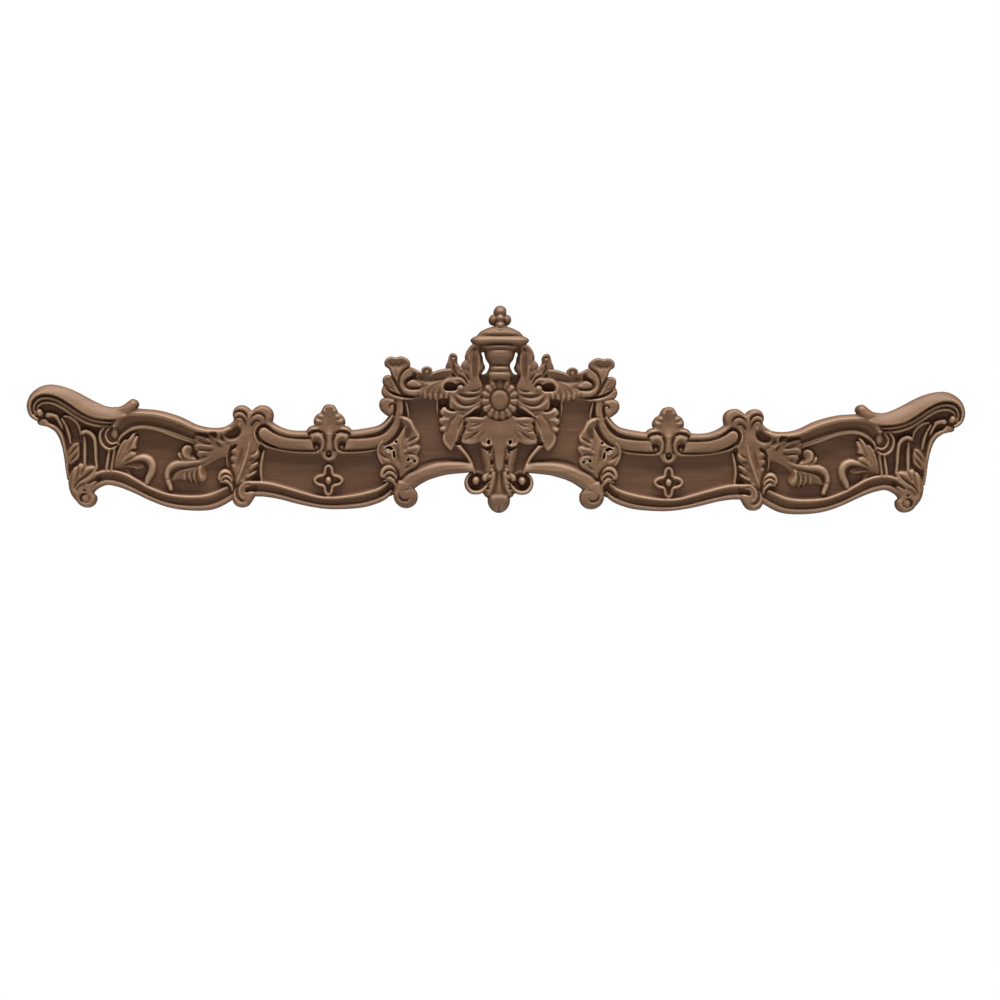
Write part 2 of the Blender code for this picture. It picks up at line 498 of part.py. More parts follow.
URN_BASE = [(22, 11, 17), (25, 11.5, 20), (28.5, 11.5, 21), (29.2, 10, 18), (32.5, 10, 20.5), (33.4, 9, 17), (36, 9.3, 16.5)]
URN_BOWL = [(41, 12, 21), (46, 14.5, 23), (50, 14, 22.5), (51.5, 14.5, 19), (54.5, 18.5, 23), (56.6, 19.5, 17.5)]
URN_LID = [(57.5, 26.5, 21), (61, 29.4, 24.5), (63.3, 28, 23), (64.2, 25, 19.5), (70, 18.5, 22), (73, 12.5, 21), (74.6, 7, 19)]


def urn(c):
    profile = np.array(URN_BASE + URN_BOWL + URN_LID, float)
    levels, halves, tops = profile.T
    part = c.window(np.array([(0, levels[0]), (halves.max(), levels[-1])]), 2 * c.step)
    u, v = c.u[part], c.v[part]
    half = np.interp(v, levels, halves)
    height = EDGE + (np.interp(v, levels, tops) - EDGE) * round_section(np.clip(u / half, 0, 1))
    c.add(part, height, np.minimum(half - u, np.minimum(v - levels[0], levels[-1] - v)))
    c.boss((6.2, 82), 5.2, 17.5, foot=EDGE)
    c.boss((0, 89.3), 6.4, 19.5, foot=EDGE)
    c.boss((0, 76.2), 5.6, 20.5, foot=EDGE)
    c.boss((0, 82.5), 4.2, 21.5, foot=BEAD)


def cartouche(c):
    """Ribbons, fans, nose leaf, side wings, volutes and bulb under the rosette."""
    upper = [(0, -16), (14, -18), (44, -12), (58, -8), (59, -24), (57, -40), (52, -48), (44, -46), (38, -51), (28, -63)]
    lower = [(25, -70), (33, -77), (33, -85), (24, -92), (12, -95), (10, -103), (5, -110), (0, FOOT)]
    c.field(upper + lower, EDGE)
    c.strip([(18, 12), (27, 9), (37, 9.5), (43, 13)], 2.1, 14.5)
    c.strip([(18.5, 5), (27, 1.8), (36.5, 1.2), (44, 6)], 2.6, 15.5, cut=0.8)
    c.strip([(20, -2), (30, -5), (40, -6), (46, -2), (49.5, 5)], 2.5, LEAF, cut=0.8)
    c.strip([(21, -5), (30, -9.5), (39, -12), (46, -10.5)], 2.1, 14, cut=0.8)
    c.hollow((24, -11), 2.6, 4, 2.0, 110)
    c.hollow((50, -7), 3.2, 4, 1.5, 90)
    c.strip([(60.5, 7), (61.7, -6), (60.5, -18), (60.5, -30)], 1.5, 11.5)
    outer_tips = [(57.5, -9), (59, -17), (58.5, -25), (56.5, -33), (55.5, -41), (50.5, -47.5)]
    c.lobes([(42, -12), (42, -36)], outer_tips, 3.4, LEAF, 1.0)
    c.strip([(36, -17), (41, -25), (43.3, -33), (42, -41)], 2.2, 15.5, cut=0.7)
    inner_tips = [(33, -18), (35, -24.5), (36.5, -31), (37, -37), (30, -42)]
    c.lobes([(9, -20), (15, -39)], inner_tips, 3.0, 15.5, 2.4)
    c.strip([(27, -45), (35, -43), (40, -38.5)], 2.0, 13.5)
    c.strip([(0, -18), (0, -34), (0, -50), (0, -62), (0, -72)], [5.0, 5.8, 6.4, 6.0, 4.0], [19, 21, 22, 20, 17], cut=0.8)
    c.lobes([(1.5, -33), (1.5, -51)], [(8.5, -26), (8.5, -35), (8.5, -44)], 2.4, RAIL, 1.0)
    c.hollow((10.8, -41), 2.2, 5)
    c.strip([(44, -44.5), (38, -50.2), (32, -56.2), (28.3, -62), (23.5, -74)], 2.3, LEAF)
    c.strip([(20, -41.5), (17, -50), (12.5, -61), (11, -71)], 2.2, 15.5, cut=0.8)
    centre = (22.5, -80.3)
    c.boss(centre, 11.3, LOW, full_section)
    c.strip(arc(centre, 9.6, 9.8, 100, -190, 14), 2.3, RAIL)
    c.boss(centre, 6.9, GROUND, full_section, foot=GROUND, replace=True)
    c.boss(centre, 4.4, RAIL)
    c.strip([(1, -66), (5, -74), (10, -83), (13.5, -92)], 2.9, 17, cut=0.7)
    c.strip([(12, -72), (7, -79), (0, -94)], 2.6, RAIL, cut=0.6)
    c.strip([(3.6, -95), (4.2, -101), (3.2, -107)], [6.2, 6.2, 4.6], [17, 18, 15])
    c.groove([(0, FOOT), (0, -101)], 1.5, 6)


def rosette(c):
    """A domed flower with a ring of narrow petals."""
    centre = np.array((0.0, 1.5))
    c.boss(centre, 19.5, 12, full_section, foot=EDGE, stretch=1.13)
    petals = 17
    for k in range(petals):
        angle = 2 * math.pi * (k + 0.5) / petals - math.pi / 2
        way = np.array((math.cos(angle), math.sin(angle)))
        if way[0] > -0.25:
            c.strip([centre + way * (8, 9.5), centre + way * (16.2, 18.4)], [1.7, 2.5, 2.9], 18, foot=LOW, cut=0.5)
    c.boss(centre, 10.2, 11, full_section, foot=11, stretch=1.15, replace=True)
    c.boss(centre, 8.8, BOSS, soft_section, foot=11, stretch=1.2)


def carve():
    """The whole right half."""
    c = Carving(STEP)
    for step in (grounds, rails, horn, end_leaf, wing_volute, wing_leaves, joint, palmette, quatrefoil,
                 bracket, crest, urn, cartouche, rosette, openings):
        step(c)
    return c


# From the carving to a closed solid


def mirrored(values):
    return np.concatenate([values[:, :0:-1], values], axis=1)


def kept_cells(inside):
    """Grid squares within the outline, with no two touching only at a corner."""
    keep = (inside[:-1, :-1] + inside[1:, :-1] + inside[:-1, 1:] + inside[1:, 1:]) > 0
    for _ in range(4):
        a, b, c, d = keep[:-1, :-1], keep[:-1, 1:], keep[1:, :-1], keep[1:, 1:]
        rows, columns = np.nonzero((a & d & ~b & ~c) | (b & c & ~a & ~d))
        if not len(rows):
            break
        for down in (0, 1):
            for right in (0, 1):
                keep[rows + down, columns + right] = True
    return keep


def sampled(values, u, v):
    """Values between grid points; u and v in grid steps."""
    u = np.clip(u, 0, values.shape[1] - 1.001)
    v = np.clip(v, 0, values.shape[0] - 1.001)
    i, j = u.astype(int), v.astype(int)
    p, q = u - i, v - j
    low = values[j, i] * (1 - p) + values[j, i + 1] * p
    high = values[j + 1, i] * (1 - p) + values[j + 1, i + 1] * p
    return low * (1 - q) + high * q


def to_outline(inside, rim):
    """Grid positions, with those on the rim drawn onto the true outline."""
    v, u = np.indices(inside.shape).astype(float)
    slope_v, slope_u = np.gradient(inside)
    new_u, new_v = u.copy(), v.copy()
    for _ in range(3):
        level = sampled(inside, new_u, new_v)
        du, dv = sampled(slope_u, new_u, new_v), sampled(slope_v, new_u, new_v)
        steep = np.maximum(du**2 + dv**2, 0.25 * STEP**2)
        move_u = np.where(rim, new_u - level * du / steep - u, 0)
        move_v = np.where(rim, new_v - level * dv / steep - v, 0)
        shrink = 0.75 / np.maximum(np.hypot(move_u, move_v), 0.75)
        new_u, new_v = u + move_u * shrink, v + move_v * shrink
    return new_u, new_v


def solid_faces(keep, number, count):
    """Front, back and side faces of the kept squares."""
    rows, columns = np.nonzero(keep)
    a, b = number[rows, columns], number[rows, columns + 1]
    c, d = number[rows + 1, columns + 1], number[rows + 1, columns]
    faces = [np.stack([a, b, c, d], 1), np.stack([d, c, b, a], 1) + count]
    around = np.pad(keep, 1)
    tall, wide = keep.shape
    sides = ((-1, 0, (0, 0), (0, 1)), (1, 0, (1, 1), (1, 0)), (0, -1, (1, 0), (0, 0)), (0, 1, (0, 1), (1, 1)))
    for down, right, first, last in sides:
        open_side = keep & ~around[1 + down:1 + down + tall, 1 + right:1 + right + wide]
        rows, columns = np.nonzero(open_side)
        p = number[rows + first[0], columns + first[1]]
        q = number[rows + last[0], columns + last[1]]
        faces.append(np.stack([q, p, p + count, q + count], 1))
    return np.vstack(faces)


def build_mesh(c):
    inside, height, margin = mirrored(c.inside), mirrored(c.height), mirrored(c.margin)
    keep = kept_cells(inside)
    padded = np.pad(keep, 1).astype(int)
    touching = padded[:-1, :-1] + padded[:-1, 1:] + padded[1:, :-1] + padded[1:, 1:]
    used = touching > 0
    u, v = to_outline(inside, used & (touching < 4))
    x = (u - (inside.shape[1] - 1) / 2) * c.step
    z = V_LOW + v * c.step
    y = -np.maximum(np.where(inside > 0, height, margin), 5.0)
    count = int(used.sum())
    number = np.full(used.shape, -1)
    number[used] = np.arange(count)
    front = np.stack([x[used], y[used], z[used]], 1)
    back = front * (1, 0, 1)
    mesh = bpy.data.meshes.new("applique")
    faces = solid_faces(keep, number, count).tolist()
    mesh.from_pydata((np.vstack([front, back]) * MM).tolist(), [], faces)
    return mesh


def main_body(mesh):
    """Keeps the largest connected body only."""
    bm = bmesh.new()
    bm.from_mesh(mesh)
    unseen = set(bm.verts)
    bodies = []
    while unseen:
        stack = [unseen.pop()]
        body = []
        while stack:
            vert = stack.pop()
            body.append(vert)
            for edge in vert.link_edges:
                other = edge.other_vert(vert)
                if other in unseen:
                    unseen.remove(other)
                    stack.append(other)
        bodies.append(body)
    bodies.sort(key=len)
    for body in bodies[:-1]:
        bmesh.ops.delete(bm, geom=body, context="VERTS")
    bmesh.ops.triangulate(bm, faces=bm.faces[:])
    bm.to_mesh(mesh)
    bm.free()


def reduced(mesh):
    """The same solid with about TRIANGLES faces and its back exactly flat."""
    ob = bpy.data.objects.new("fine", mesh)
    bpy.context.collection.objects.link(ob)
    collapse = ob.modifiers.new("collapse", "DECIMATE")
    collapse.ratio = TRIANGLES / len(mesh.polygons)
    graph = bpy.context.evaluated_depsgraph_get()
    result = bpy.data.meshes.new_from_object(ob.evaluated_get(graph))
    bpy.data.objects.remove(ob)
    for vert in result.vertices:
        if vert.co.y > -0.0025:
            vert.co.y = 0.0
    return result


def finish(mesh):
    """Drops slivers, fits the overall sizes and gives the wood."""
    bm = bmesh.new()
    bm.from_mesh(mesh)
    bmesh.ops.dissolve_degenerate(bm, dist=2e-5, edges=bm.edges[:])
    bmesh.ops.triangulate(bm, faces=bm.faces[:])
    for axis, first, last in ((0, -HALF_LENGTH, HALF_LENGTH), (2, FOOT, TOP)):
        low = min(v.co[axis] for v in bm.verts)
        high = max(v.co[axis] for v in bm.verts)
        for vert in bm.verts:
            vert.co[axis] = (first + (vert.co[axis] - low) / (high - low) * (last - first)) * MM
    bmesh.ops.recalc_face_normals(bm, faces=bm.faces[:])
    bm.to_mesh(mesh)
    bm.free()
    mesh.name = "applique"
    mesh.polygons.foreach_set("use_smooth", [False] * len(mesh.polygons))


def wood():
    material = bpy.data.materials.new("wood")
    material.use_nodes = True
    shader = material.node_tree.nodes["Principled BSDF"]
    shader.inputs["Base Color"].default_value = WOOD_COLOUR
    shader.inputs["Roughness"].default_value = WOOD_ROUGHNESS
    return material


def main():
    for ob in list(bpy.data.objects):
        bpy.data.objects.remove(ob, do_unlink=True)
    mesh = build_mesh(carve())
    main_body(mesh)
    mesh = reduced(mesh)
    finish(mesh)
    mesh.materials.append(wood())
    bpy.context.collection.objects.link(bpy.data.objects.new("applique", mesh))


main()
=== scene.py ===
import math
import bmesh
import bpy
import numpy as np
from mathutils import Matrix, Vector


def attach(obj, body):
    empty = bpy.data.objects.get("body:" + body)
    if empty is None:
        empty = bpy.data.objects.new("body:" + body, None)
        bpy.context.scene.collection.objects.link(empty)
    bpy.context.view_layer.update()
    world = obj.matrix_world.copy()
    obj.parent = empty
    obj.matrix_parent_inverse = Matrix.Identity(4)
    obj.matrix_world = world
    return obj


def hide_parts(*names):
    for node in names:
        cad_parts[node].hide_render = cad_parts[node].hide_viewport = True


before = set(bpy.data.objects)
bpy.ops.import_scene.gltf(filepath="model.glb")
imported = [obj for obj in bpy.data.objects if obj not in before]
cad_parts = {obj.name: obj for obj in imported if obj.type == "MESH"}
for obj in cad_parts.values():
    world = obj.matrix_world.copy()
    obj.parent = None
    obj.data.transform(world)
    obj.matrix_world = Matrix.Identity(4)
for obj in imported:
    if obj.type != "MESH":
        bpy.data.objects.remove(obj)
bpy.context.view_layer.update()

# The board's sizes are in millimetres. u runs from the middle line to the right and v upward.
MM = 0.001
FINE_STEP = 0.5
TRIANGLES = 192000
HALF_LENGTH = 469.0
TOP = 95.7
FOOT = -111.5

# Limits of the grid that the right half is carved on
U_LIMIT = 475.0
V_LOW = -116.0
V_HIGH = 100.0

# Heights over the flat back: the sunk panels, the wing's deeper panel, the urn's sides and the least
GROUND = 6.5
WING_GROUND = 5.4
EDGE = 8.0
LEAST_HEIGHT = 3.0

# Rounding of all edges, the spread over which a cut's depth is judged, and the most that stays of it
SOFT_EDGE = 0.5
CUT_SPREAD = 2.4
DEEPEST_CUT = 2.6


def curve(points, parts=8):
    """A smooth line through a few points."""
    p = np.array(points, float)
    if len(p) < 3:
        t = np.linspace(0, 1, 4)[:, None]
        return p[0] * (1 - t) + p[-1] * t
    ends = np.vstack([2 * p[0] - p[1], p, 2 * p[-1] - p[-2]])
    t = np.linspace(0, 1, parts, endpoint=False)[:, None]
    out = []
    for a, b, c, d in zip(ends[:-3], ends[1:-2], ends[2:-1], ends[3:]):
        before = max(np.linalg.norm(b - a), 1e-6) ** 0.5
        here = max(np.linalg.norm(c - b), 1e-6) ** 0.5
        after = max(np.linalg.norm(d - c), 1e-6) ** 0.5
        m1 = here * ((b - a) / before - (c - a) / (before + here) + (c - b) / here)
        m2 = here * ((c - b) / here - (d - b) / (here + after) + (d - c) / after)
        blend = (2 * t**3 - 3 * t**2 + 1) * b + (t**3 - 2 * t**2 + t) * m1
        out.append(blend + (3 * t**2 - 2 * t**3) * c + (t**3 - t**2) * m2)
    out.append(p[-1:])
    return np.vstack(out)


def loop(points, parts=6):
    """A smooth closed line through a few points."""
    around = [points[-2], points[-1]] + list(points) + [points[0], points[1]]
    line = curve(around, parts)
    return line[2 * parts:-2 * parts]


def arc(centre, first_radius, last_radius, first_angle, last_angle, count=11):
    """Points along a circle or spiral; angles in degrees."""
    radii = np.linspace(first_radius, last_radius, count)
    angles = np.radians(np.linspace(first_angle, last_angle, count))
    return [(centre[0] + r * math.cos(a), centre[1] + r * math.sin(a)) for r, a in zip(radii, angles)]


def along_line(share, values):
    """The value at each share of the way along a line."""
    values = np.atleast_1d(np.array(values, float))
    if len(values) == 1:
        return values[0]
    return np.interp(share, np.linspace(0, 1, len(values)), values)


def ease(t):
    """A soft step from 0 to 1."""
    return t * t * (3 - 2 * t)


# Sections of a strip or boss: 1 on its middle line, 0 at its edge


def round_section(a):
    return np.sqrt(np.maximum(0, 1 - a * a))


def soft_section(a):
    return 1 - a * a


def full_section(a):
    return 1 - a**4


def ball_section(a):
    return 1 - a**3


def flat_section(a):
    return 1 - a**6


def dish(centre_u, centre_v, reach_u, reach_v, u, v):
    """1 at a centre, falling softly to 0 beyond the reach on each axis."""
    return np.exp(-(((u - centre_u) / reach_u) ** 2 + ((v - centre_v) / reach_v) ** 2))


def midpoint(start, end, lift=0.0):
    """The point halfway between two points, raised by lift."""
    return (start[0] + end[0]) / 2, (start[1] + end[1]) / 2 + lift


def line_distance(line, u, v):
    """Distance of each place from a line."""
    best = np.full(u.shape, 1e9)
    for (ax, ay), (bx, by) in zip(line[:-1], line[1:]):
        length = max(math.hypot(bx - ax, by - ay), 1e-9)
        tx, ty = (bx - ax) / length, (by - ay) / length
        along = np.clip((u - ax) * tx + (v - ay) * ty, 0, length)
        best = np.minimum(best, (u - ax - along * tx) ** 2 + (v - ay - along * ty) ** 2)
    return np.sqrt(best)


def within(ring, u, v):
    """True for each place inside a closed line."""
    inside = np.zeros(u.shape, bool)
    for (ax, ay), (bx, by) in zip(ring, np.roll(ring, -1, axis=0)):
        if ay != by:
            crossing = (bx - ax) * (v - ay) / (by - ay) + ax
            inside ^= ((ay > v) != (by > v)) & (u < crossing)
    return inside


class Relief:
    """Heights of the front of the right half on a square grid."""

    def __init__(self, step):
        self.step = step
        self.u, self.v = np.meshgrid(np.arange(0, U_LIMIT, step), np.arange(V_LOW, V_HIGH, step))
        self.height = np.zeros_like(self.u)
        self.margin = np.zeros_like(self.u)
        self.inside = np.full_like(self.u, -9.0)

    def window(self, line, reach):
        """The part of the grid around a line."""
        low, high = line.min(0) - reach, line.max(0) + reach
        rows, columns = self.u.shape
        i0 = max(0, int(low[0] / self.step))
        i1 = min(columns, int(high[0] / self.step) + 2)
        j0 = max(0, int((low[1] - V_LOW) / self.step))
        j1 = min(rows, int((high[1] - V_LOW) / self.step) + 2)
        return slice(j0, j1), slice(i0, i1)

    def add(self, part, height, into, cut=0.0, deep=3.0, replace=False):
        """Adds a shape where into, the depth within its outline, is above 0.

        A margin around it, cut mm wide, is sunk first."""
        old = self.height[part]
        if cut:
            ring = (into <= 0) & (into > -cut)
            sunk = np.maximum(old - deep * (1 + into / cut), np.minimum(old, GROUND - 2.5))
            old = np.where(ring, sunk, old)
        new = height if replace else np.maximum(old, height)
        self.height[part] = np.where(into > 0, new, old)
        near = into > -1.6 * self.step
        self.margin[part] = np.where(near, np.maximum(self.margin[part], height), self.margin[part])
        self.inside[part] = np.maximum(self.inside[part], into)

    def measured(self, points, reach):
        """Distance from a line, share of the way along it and side of it, in a window around it."""
        line = curve(points)
        part = self.window(line, reach + 2 * self.step)
        u, v = self.u[part], self.v[part]
        best = np.full(u.shape, 1e9)
        share = np.zeros(u.shape)
        side = np.zeros(u.shape)
        lengths = np.hypot(*np.diff(line, axis=0).T)
        marks = np.concatenate([[0], np.cumsum(lengths)])
        for a, b, length, mark in zip(line[:-1], line[1:], lengths, marks):
            if length < 1e-9:
                continue
            tx, ty = (b - a) / length
            along = np.clip((u - a[0]) * tx + (v - a[1]) * ty, 0, length)
            du, dv = u - a[0] - along * tx, v - a[1] - along * ty
            distance = du * du + dv * dv
            closer = distance < best
            best = np.where(closer, distance, best)
            share = np.where(closer, (mark + along) / marks[-1], share)
            side = np.where(closer, tx * dv - ty * du, side)
        return part, np.sqrt(best), share, np.sign(side)

    def strip(self, points, width, top, section=round_section, foot=6.5, cut=0.0, deep=3.0, lean=0.0):
        """A raised strip; width is its half width, and lean lifts its left side."""
        part, distance, share, side = self.measured(points, np.max(width) + cut)
        half = along_line(share, width)
        a = np.clip(distance / half, 0, 1)
        height = foot + (along_line(share, top) - foot) * section(a)
        if lean:
            height = height + lean * side * a * (1 - a**4)
        self.add(part, height, half - distance, cut, deep)

    def groove(self, points, width, depth, taper=0.35):
        """A groove; it starts and ends shallow, over the taper share of its length."""
        part, distance, share, _ = self.measured(points, np.max(width))
        ends = np.clip(np.minimum(share, 1 - share) / max(taper, 1e-6), 0, 1) if taper else 1
        half = along_line(share, width) * (0.6 + 0.4 * ends)
        a = np.clip(distance / half, 0, 1)
        self.height[part] -= along_line(share, depth) * (0.25 + 0.75 * ends) * (1 - a * a)

    def swell(self, points, width, rise, taper=0.3):
        """A soft rise along a line, or a soft valley where rise is below 0."""
        part, distance, share, _ = self.measured(points, np.max(width))
        ends = ease(np.clip(np.minimum(share, 1 - share) / taper, 0, 1))
        a = np.clip(distance / along_line(share, width), 0, 1)
        self.height[part] += along_line(share, rise) * (0.15 + 0.85 * ends) * (1 - a * a) ** 2

    def mass(self, points, top, edge=3.5, foot=7.0, cut=0.0, deep=3.0, closed=False):
        """A body of leaf with a rounded edge; top may be a number or a function of place."""
        ring = np.array(points, float) if closed else loop(points)
        part = self.window(ring, cut + 2 * self.step)
        u, v = self.u[part], self.v[part]
        away = line_distance(np.vstack([ring, ring[:1]]), u, v)
        into = np.where(within(ring, u, v), away, -away)
        a = 1 - np.clip(into / edge, 0, 1)
        level = top(u, v) if callable(top) else top
        height = foot + (level - foot) * np.sqrt(1 - a * a * 0.999)
        self.add(part, height, into, cut, deep)

    def field(self, ring, height):
        """A level field inside a closed line."""
        self.mass(ring, height, edge=0.5, foot=height, closed=True)

    def moulding(self, outer, inner, section, even=False):
        """A moulding between two lines. The section gives heights at shares of the way across, which
        are joined evenly or by soft steps."""
        first, last = curve(outer), curve(inner)
        ring = np.vstack([first, last[::-1]])
        part = self.window(ring, 2 * self.step)
        u, v = self.u[part], self.v[part]
        to_first, to_last = line_distance(first, u, v), line_distance(last, u, v)
        away = line_distance(np.vstack([ring, ring[:1]]), u, v)
        inside = within(ring, u, v)
        across = np.where(inside, to_first / np.maximum(to_first + to_last, 1e-9), to_first > to_last)
        shares, heights = np.array(section, float).T
        k = np.clip(np.searchsorted(shares, across, side="right") - 1, 0, len(shares) - 2)
        t = np.clip((across - shares[k]) / (shares[k + 1] - shares[k]), 0, 1)
        height = heights[k] + (heights[k + 1] - heights[k]) * (t if even else ease(t))
        self.add(part, height, np.where(inside, away, -away))

    def oval(self, part, centre, stretch, turn):
        """Distance from a centre, shortened along the direction that an oval is stretched in."""
        u, v = self.u[part] - centre[0], self.v[part] - centre[1]
        c, s = math.cos(math.radians(turn)), math.sin(math.radians(turn))
        return np.hypot(u * c + v * s, (v * c - u * s) / stretch)

    def boss(self, centre, radius, top, section=round_section, foot=6.5, stretch=1.0, turn=0.0, cut=0.0,
             replace=False):
        """A round or oval boss; stretch lengthens it along the direction turn + 90 degrees."""
        part = self.window(np.array([centre], float), radius * max(1, stretch) + cut + 2 * self.step)
        away = self.oval(part, centre, stretch, turn)
        height = foot + (top - foot) * section(np.clip(away / radius, 0, 1))
        self.add(part, height, (radius - away) * min(1, stretch), cut, replace=replace)

    def hollow(self, centre, radius, floor, stretch=1.0, turn=0.0, steep=4):
        """A round or oval hollow down to the given floor."""
        part = self.window(np.array([centre], float), radius * max(1, stretch) + self.step)
        share = np.clip(self.oval(part, centre, stretch, turn) / radius, 0, 1)
        old = self.height[part]
        sunk = floor + (old - floor) * share**steep
        self.height[part] = np.where(share < 1, np.minimum(old, sunk), old)

    def pocket(self, points, floor, edge=1.5):
        """A hollow with a free outline."""
        ring = loop(points)
        part = self.window(ring, 2 * self.step)
        u, v = self.u[part], self.v[part]
        into = np.where(within(ring, u, v), line_distance(np.vstack([ring, ring[:1]]), u, v), 0)
        share = ease(np.clip(into / edge, 0, 1))
        old = self.height[part]
        self.height[part] = np.where(into > 0, np.minimum(old, old + (floor - old) * share), old)

    def pierce(self, ring):
        """An opening right through, with the given closed outline."""
        part = self.window(ring, 2 * self.step)
        u, v = self.u[part], self.v[part]
        away = line_distance(np.vstack([ring, ring[:1]]), u, v)
        outside = np.where(within(ring, u, v), -away, away)
        self.margin[part] = np.maximum(self.margin[part], self.height[part])
        self.inside[part] = np.minimum(self.inside[part], outside)

    def around(self, sigma):
        """The mean height around each place, over a spread of sigma mm."""
        reach = int(2.8 * sigma / self.step) + 1
        k = np.exp(-0.5 * (np.arange(-reach, reach + 1) * self.step / sigma) ** 2)
        k /= k.sum()
        solid = np.where(self.inside > 0, 1.0, 0.0)
        return blurred(self.height * solid, k) / np.maximum(blurred(solid, k), 0.05)

    def soften(self, sigma, spread, deepest):
        """Rounds every edge a little and leaves narrow cuts shallow, as the cutter and the sanding do."""
        self.height = np.where(self.inside > 0, self.around(sigma), self.height)
        mean = self.around(spread)
        below = np.maximum(mean - self.height, 0)
        shallow = mean - deepest * np.tanh(below / deepest)
        self.height = np.where((self.inside > 0) & (below > 0), shallow, self.height)

    def openness(self):
        """Above 0 on edges and crests, below 0 in cuts: height against the mean around it."""
        out = np.zeros_like(self.height)
        for sigma, share in ((1.2, 0.55), (3.5, 0.45)):
            out += share * (self.height - self.around(sigma)) / (0.9 + 0.55 * sigma)
        return np.clip(out, -1.2, 1.2)


def blurred(values, kernel):
    """Blurs along both directions; the edge at the middle line is mirrored."""
    reach = len(kernel) // 2
    wide = np.pad(values, reach, mode="reflect")
    rows, columns = values.shape
    out = sum(k * wide[i:i + rows] for i, k in enumerate(kernel))
    return sum(k * out[:, i:i + columns] for i, k in enumerate(kernel))


# Rails: outer and inner lines, and the sections across them

WING_TOP = [(256, -18), (264, -23.5), (272, -27), (284, -28.5), (299, -26), (319, -17), (339, -11.5),
            (352, -10.3), (362, -9.8), (372, -10.5), (381, -14.5), (386, -24)]
WING_TOP_IN = [(262, -42), (276, -44.5), (290, -45), (304, -42.5), (324, -36), (344, -30), (355, -28.8),
               (363, -30.4), (370, -34.2), (375, -38.8), (378.4, -44)]
WING_LOW = [(262, -98), (271.5, -103.8), (279.5, -108), (289, -110.6), (309, -111), (329, -108),
            (347, -101.5), (363, -94), (379, -88), (391, -86.3), (400, -90.5), (404, -95)]
WING_LOW_IN = [(266, -83), (272, -86), (282, -91), (292, -94.3), (309, -95.5), (329, -93.5), (347, -87),
               (358.5, -80.5), (369, -74.5), (380, -71), (391, -70.5), (400, -73), (408, -79)]
MIDDLE_TOP = [(108, -12), (111, -16), (116, -21.5), (121, -24.8), (135, -28), (150, -29.8), (192, -30.5),
              (204, -30.5), (214, -28.5), (224, -23.5), (230, -18)]
MIDDLE_TOP_IN = [(96, -28), (105, -40), (114, -46.5), (124, -51), (140, -53.3), (200, -53.8), (215, -52.3),
                 (228, -49.5), (237, -45), (242, -38)]
MIDDLE_LOW = [(106, -91), (110, -96.3), (116, -100.5), (126, -104.5), (136, -107), (152, -108.6),
              (170, -108.8), (185, -107), (200, -104), (220, -99), (235, -96.8), (248, -96.8)]
MIDDLE_LOW_IN = [(111, -79.5), (116, -84), (122, -87.3), (132, -90.5), (142, -92.8), (160, -95.5),
                 (171, -96), (181, -95), (192, -92), (208, -87.3), (228, -82), (240, -80.7), (249, -81)]
ARCH_TOP = [(26, -61), (40, -60.3), (55, -60.5), (65, -62), (75, -65.2), (86, -69.5), (94, -73.8),
            (100, -81)]
ARCH_LOW = [(26, -71), (40, -72.3), (52, -73.7), (60, -75.7), (70, -79), (78, -83.3), (84, -87.5),
            (90, -92)]
HORN_TOP = [(366.5, -15.5), (361.7, -10.5), (359.2, -6), (361, -1.8), (364.8, -0.4), (368.3, -2.6),
            (373, -6.3), (380, -8.6), (390, -8), (400, -4.3), (409, 0.2), (419, 5.6), (428, 9.6),
            (438, 12.5), (447, 13.2), (454, 11.8), (461, 7.6), (466.3, 1.6), (469, -6), (468.3, -13.5),
            (465, -19.5), (460, -23)]
HORN_LOW = [(372, -18.5), (377, -20.3), (382, -21.2), (390, -21.5), (399, -20.6), (407, -18.5),
            (415, -14.3), (423, -9), (431, -3.6), (439, 0.6), (447, 2.8), (454, 2.6), (459.5, 0.2),
            (463, -4), (464.3, -10), (463, -16), (459, -19.5), (456, -21)]

TOP_RAIL_SECTION = [(0, 8.5), (0.05, 11.5), (0.24, 17), (0.31, 16.3), (0.5, 9.5), (0.66, 8.2), (0.79, 9.2),
                    (0.89, 12.3), (0.96, 11.8), (1, 7.5)]
LOW_RAIL_SECTION = [(0, 8), (0.06, 10.5), (0.16, 12.3), (0.27, 11.6), (0.42, 8.3), (0.58, 8.1), (0.74, 11),
                    (0.86, 14.3), (0.95, 12.8), (1, 7.5)]
MIDDLE_RAIL_SECTION = [(0, 8.5), (0.05, 12), (0.16, 15), (0.25, 14.6), (0.31, 8.5), (0.36, 8), (0.86, 8),
                       (0.92, 12.6), (0.97, 12), (1, 7.5)]
ARCH_SECTION = [(0, 8.5), (0.1, 12.4), (0.3, 14.6), (0.66, 15.4), (0.88, 14.3), (0.97, 11.5), (1, 8.5)]
# A quarter round that rises from the horn's outer edge to the line beside its beads
HORN_ROUND = [(0.04 + 0.11 * k, 12 + 7 * math.sin(0.196 * k)) for k in range(9)]
HORN_SECTION = [(0, 9)] + HORN_ROUND + [(0.97, 18.4), (1, 15)]


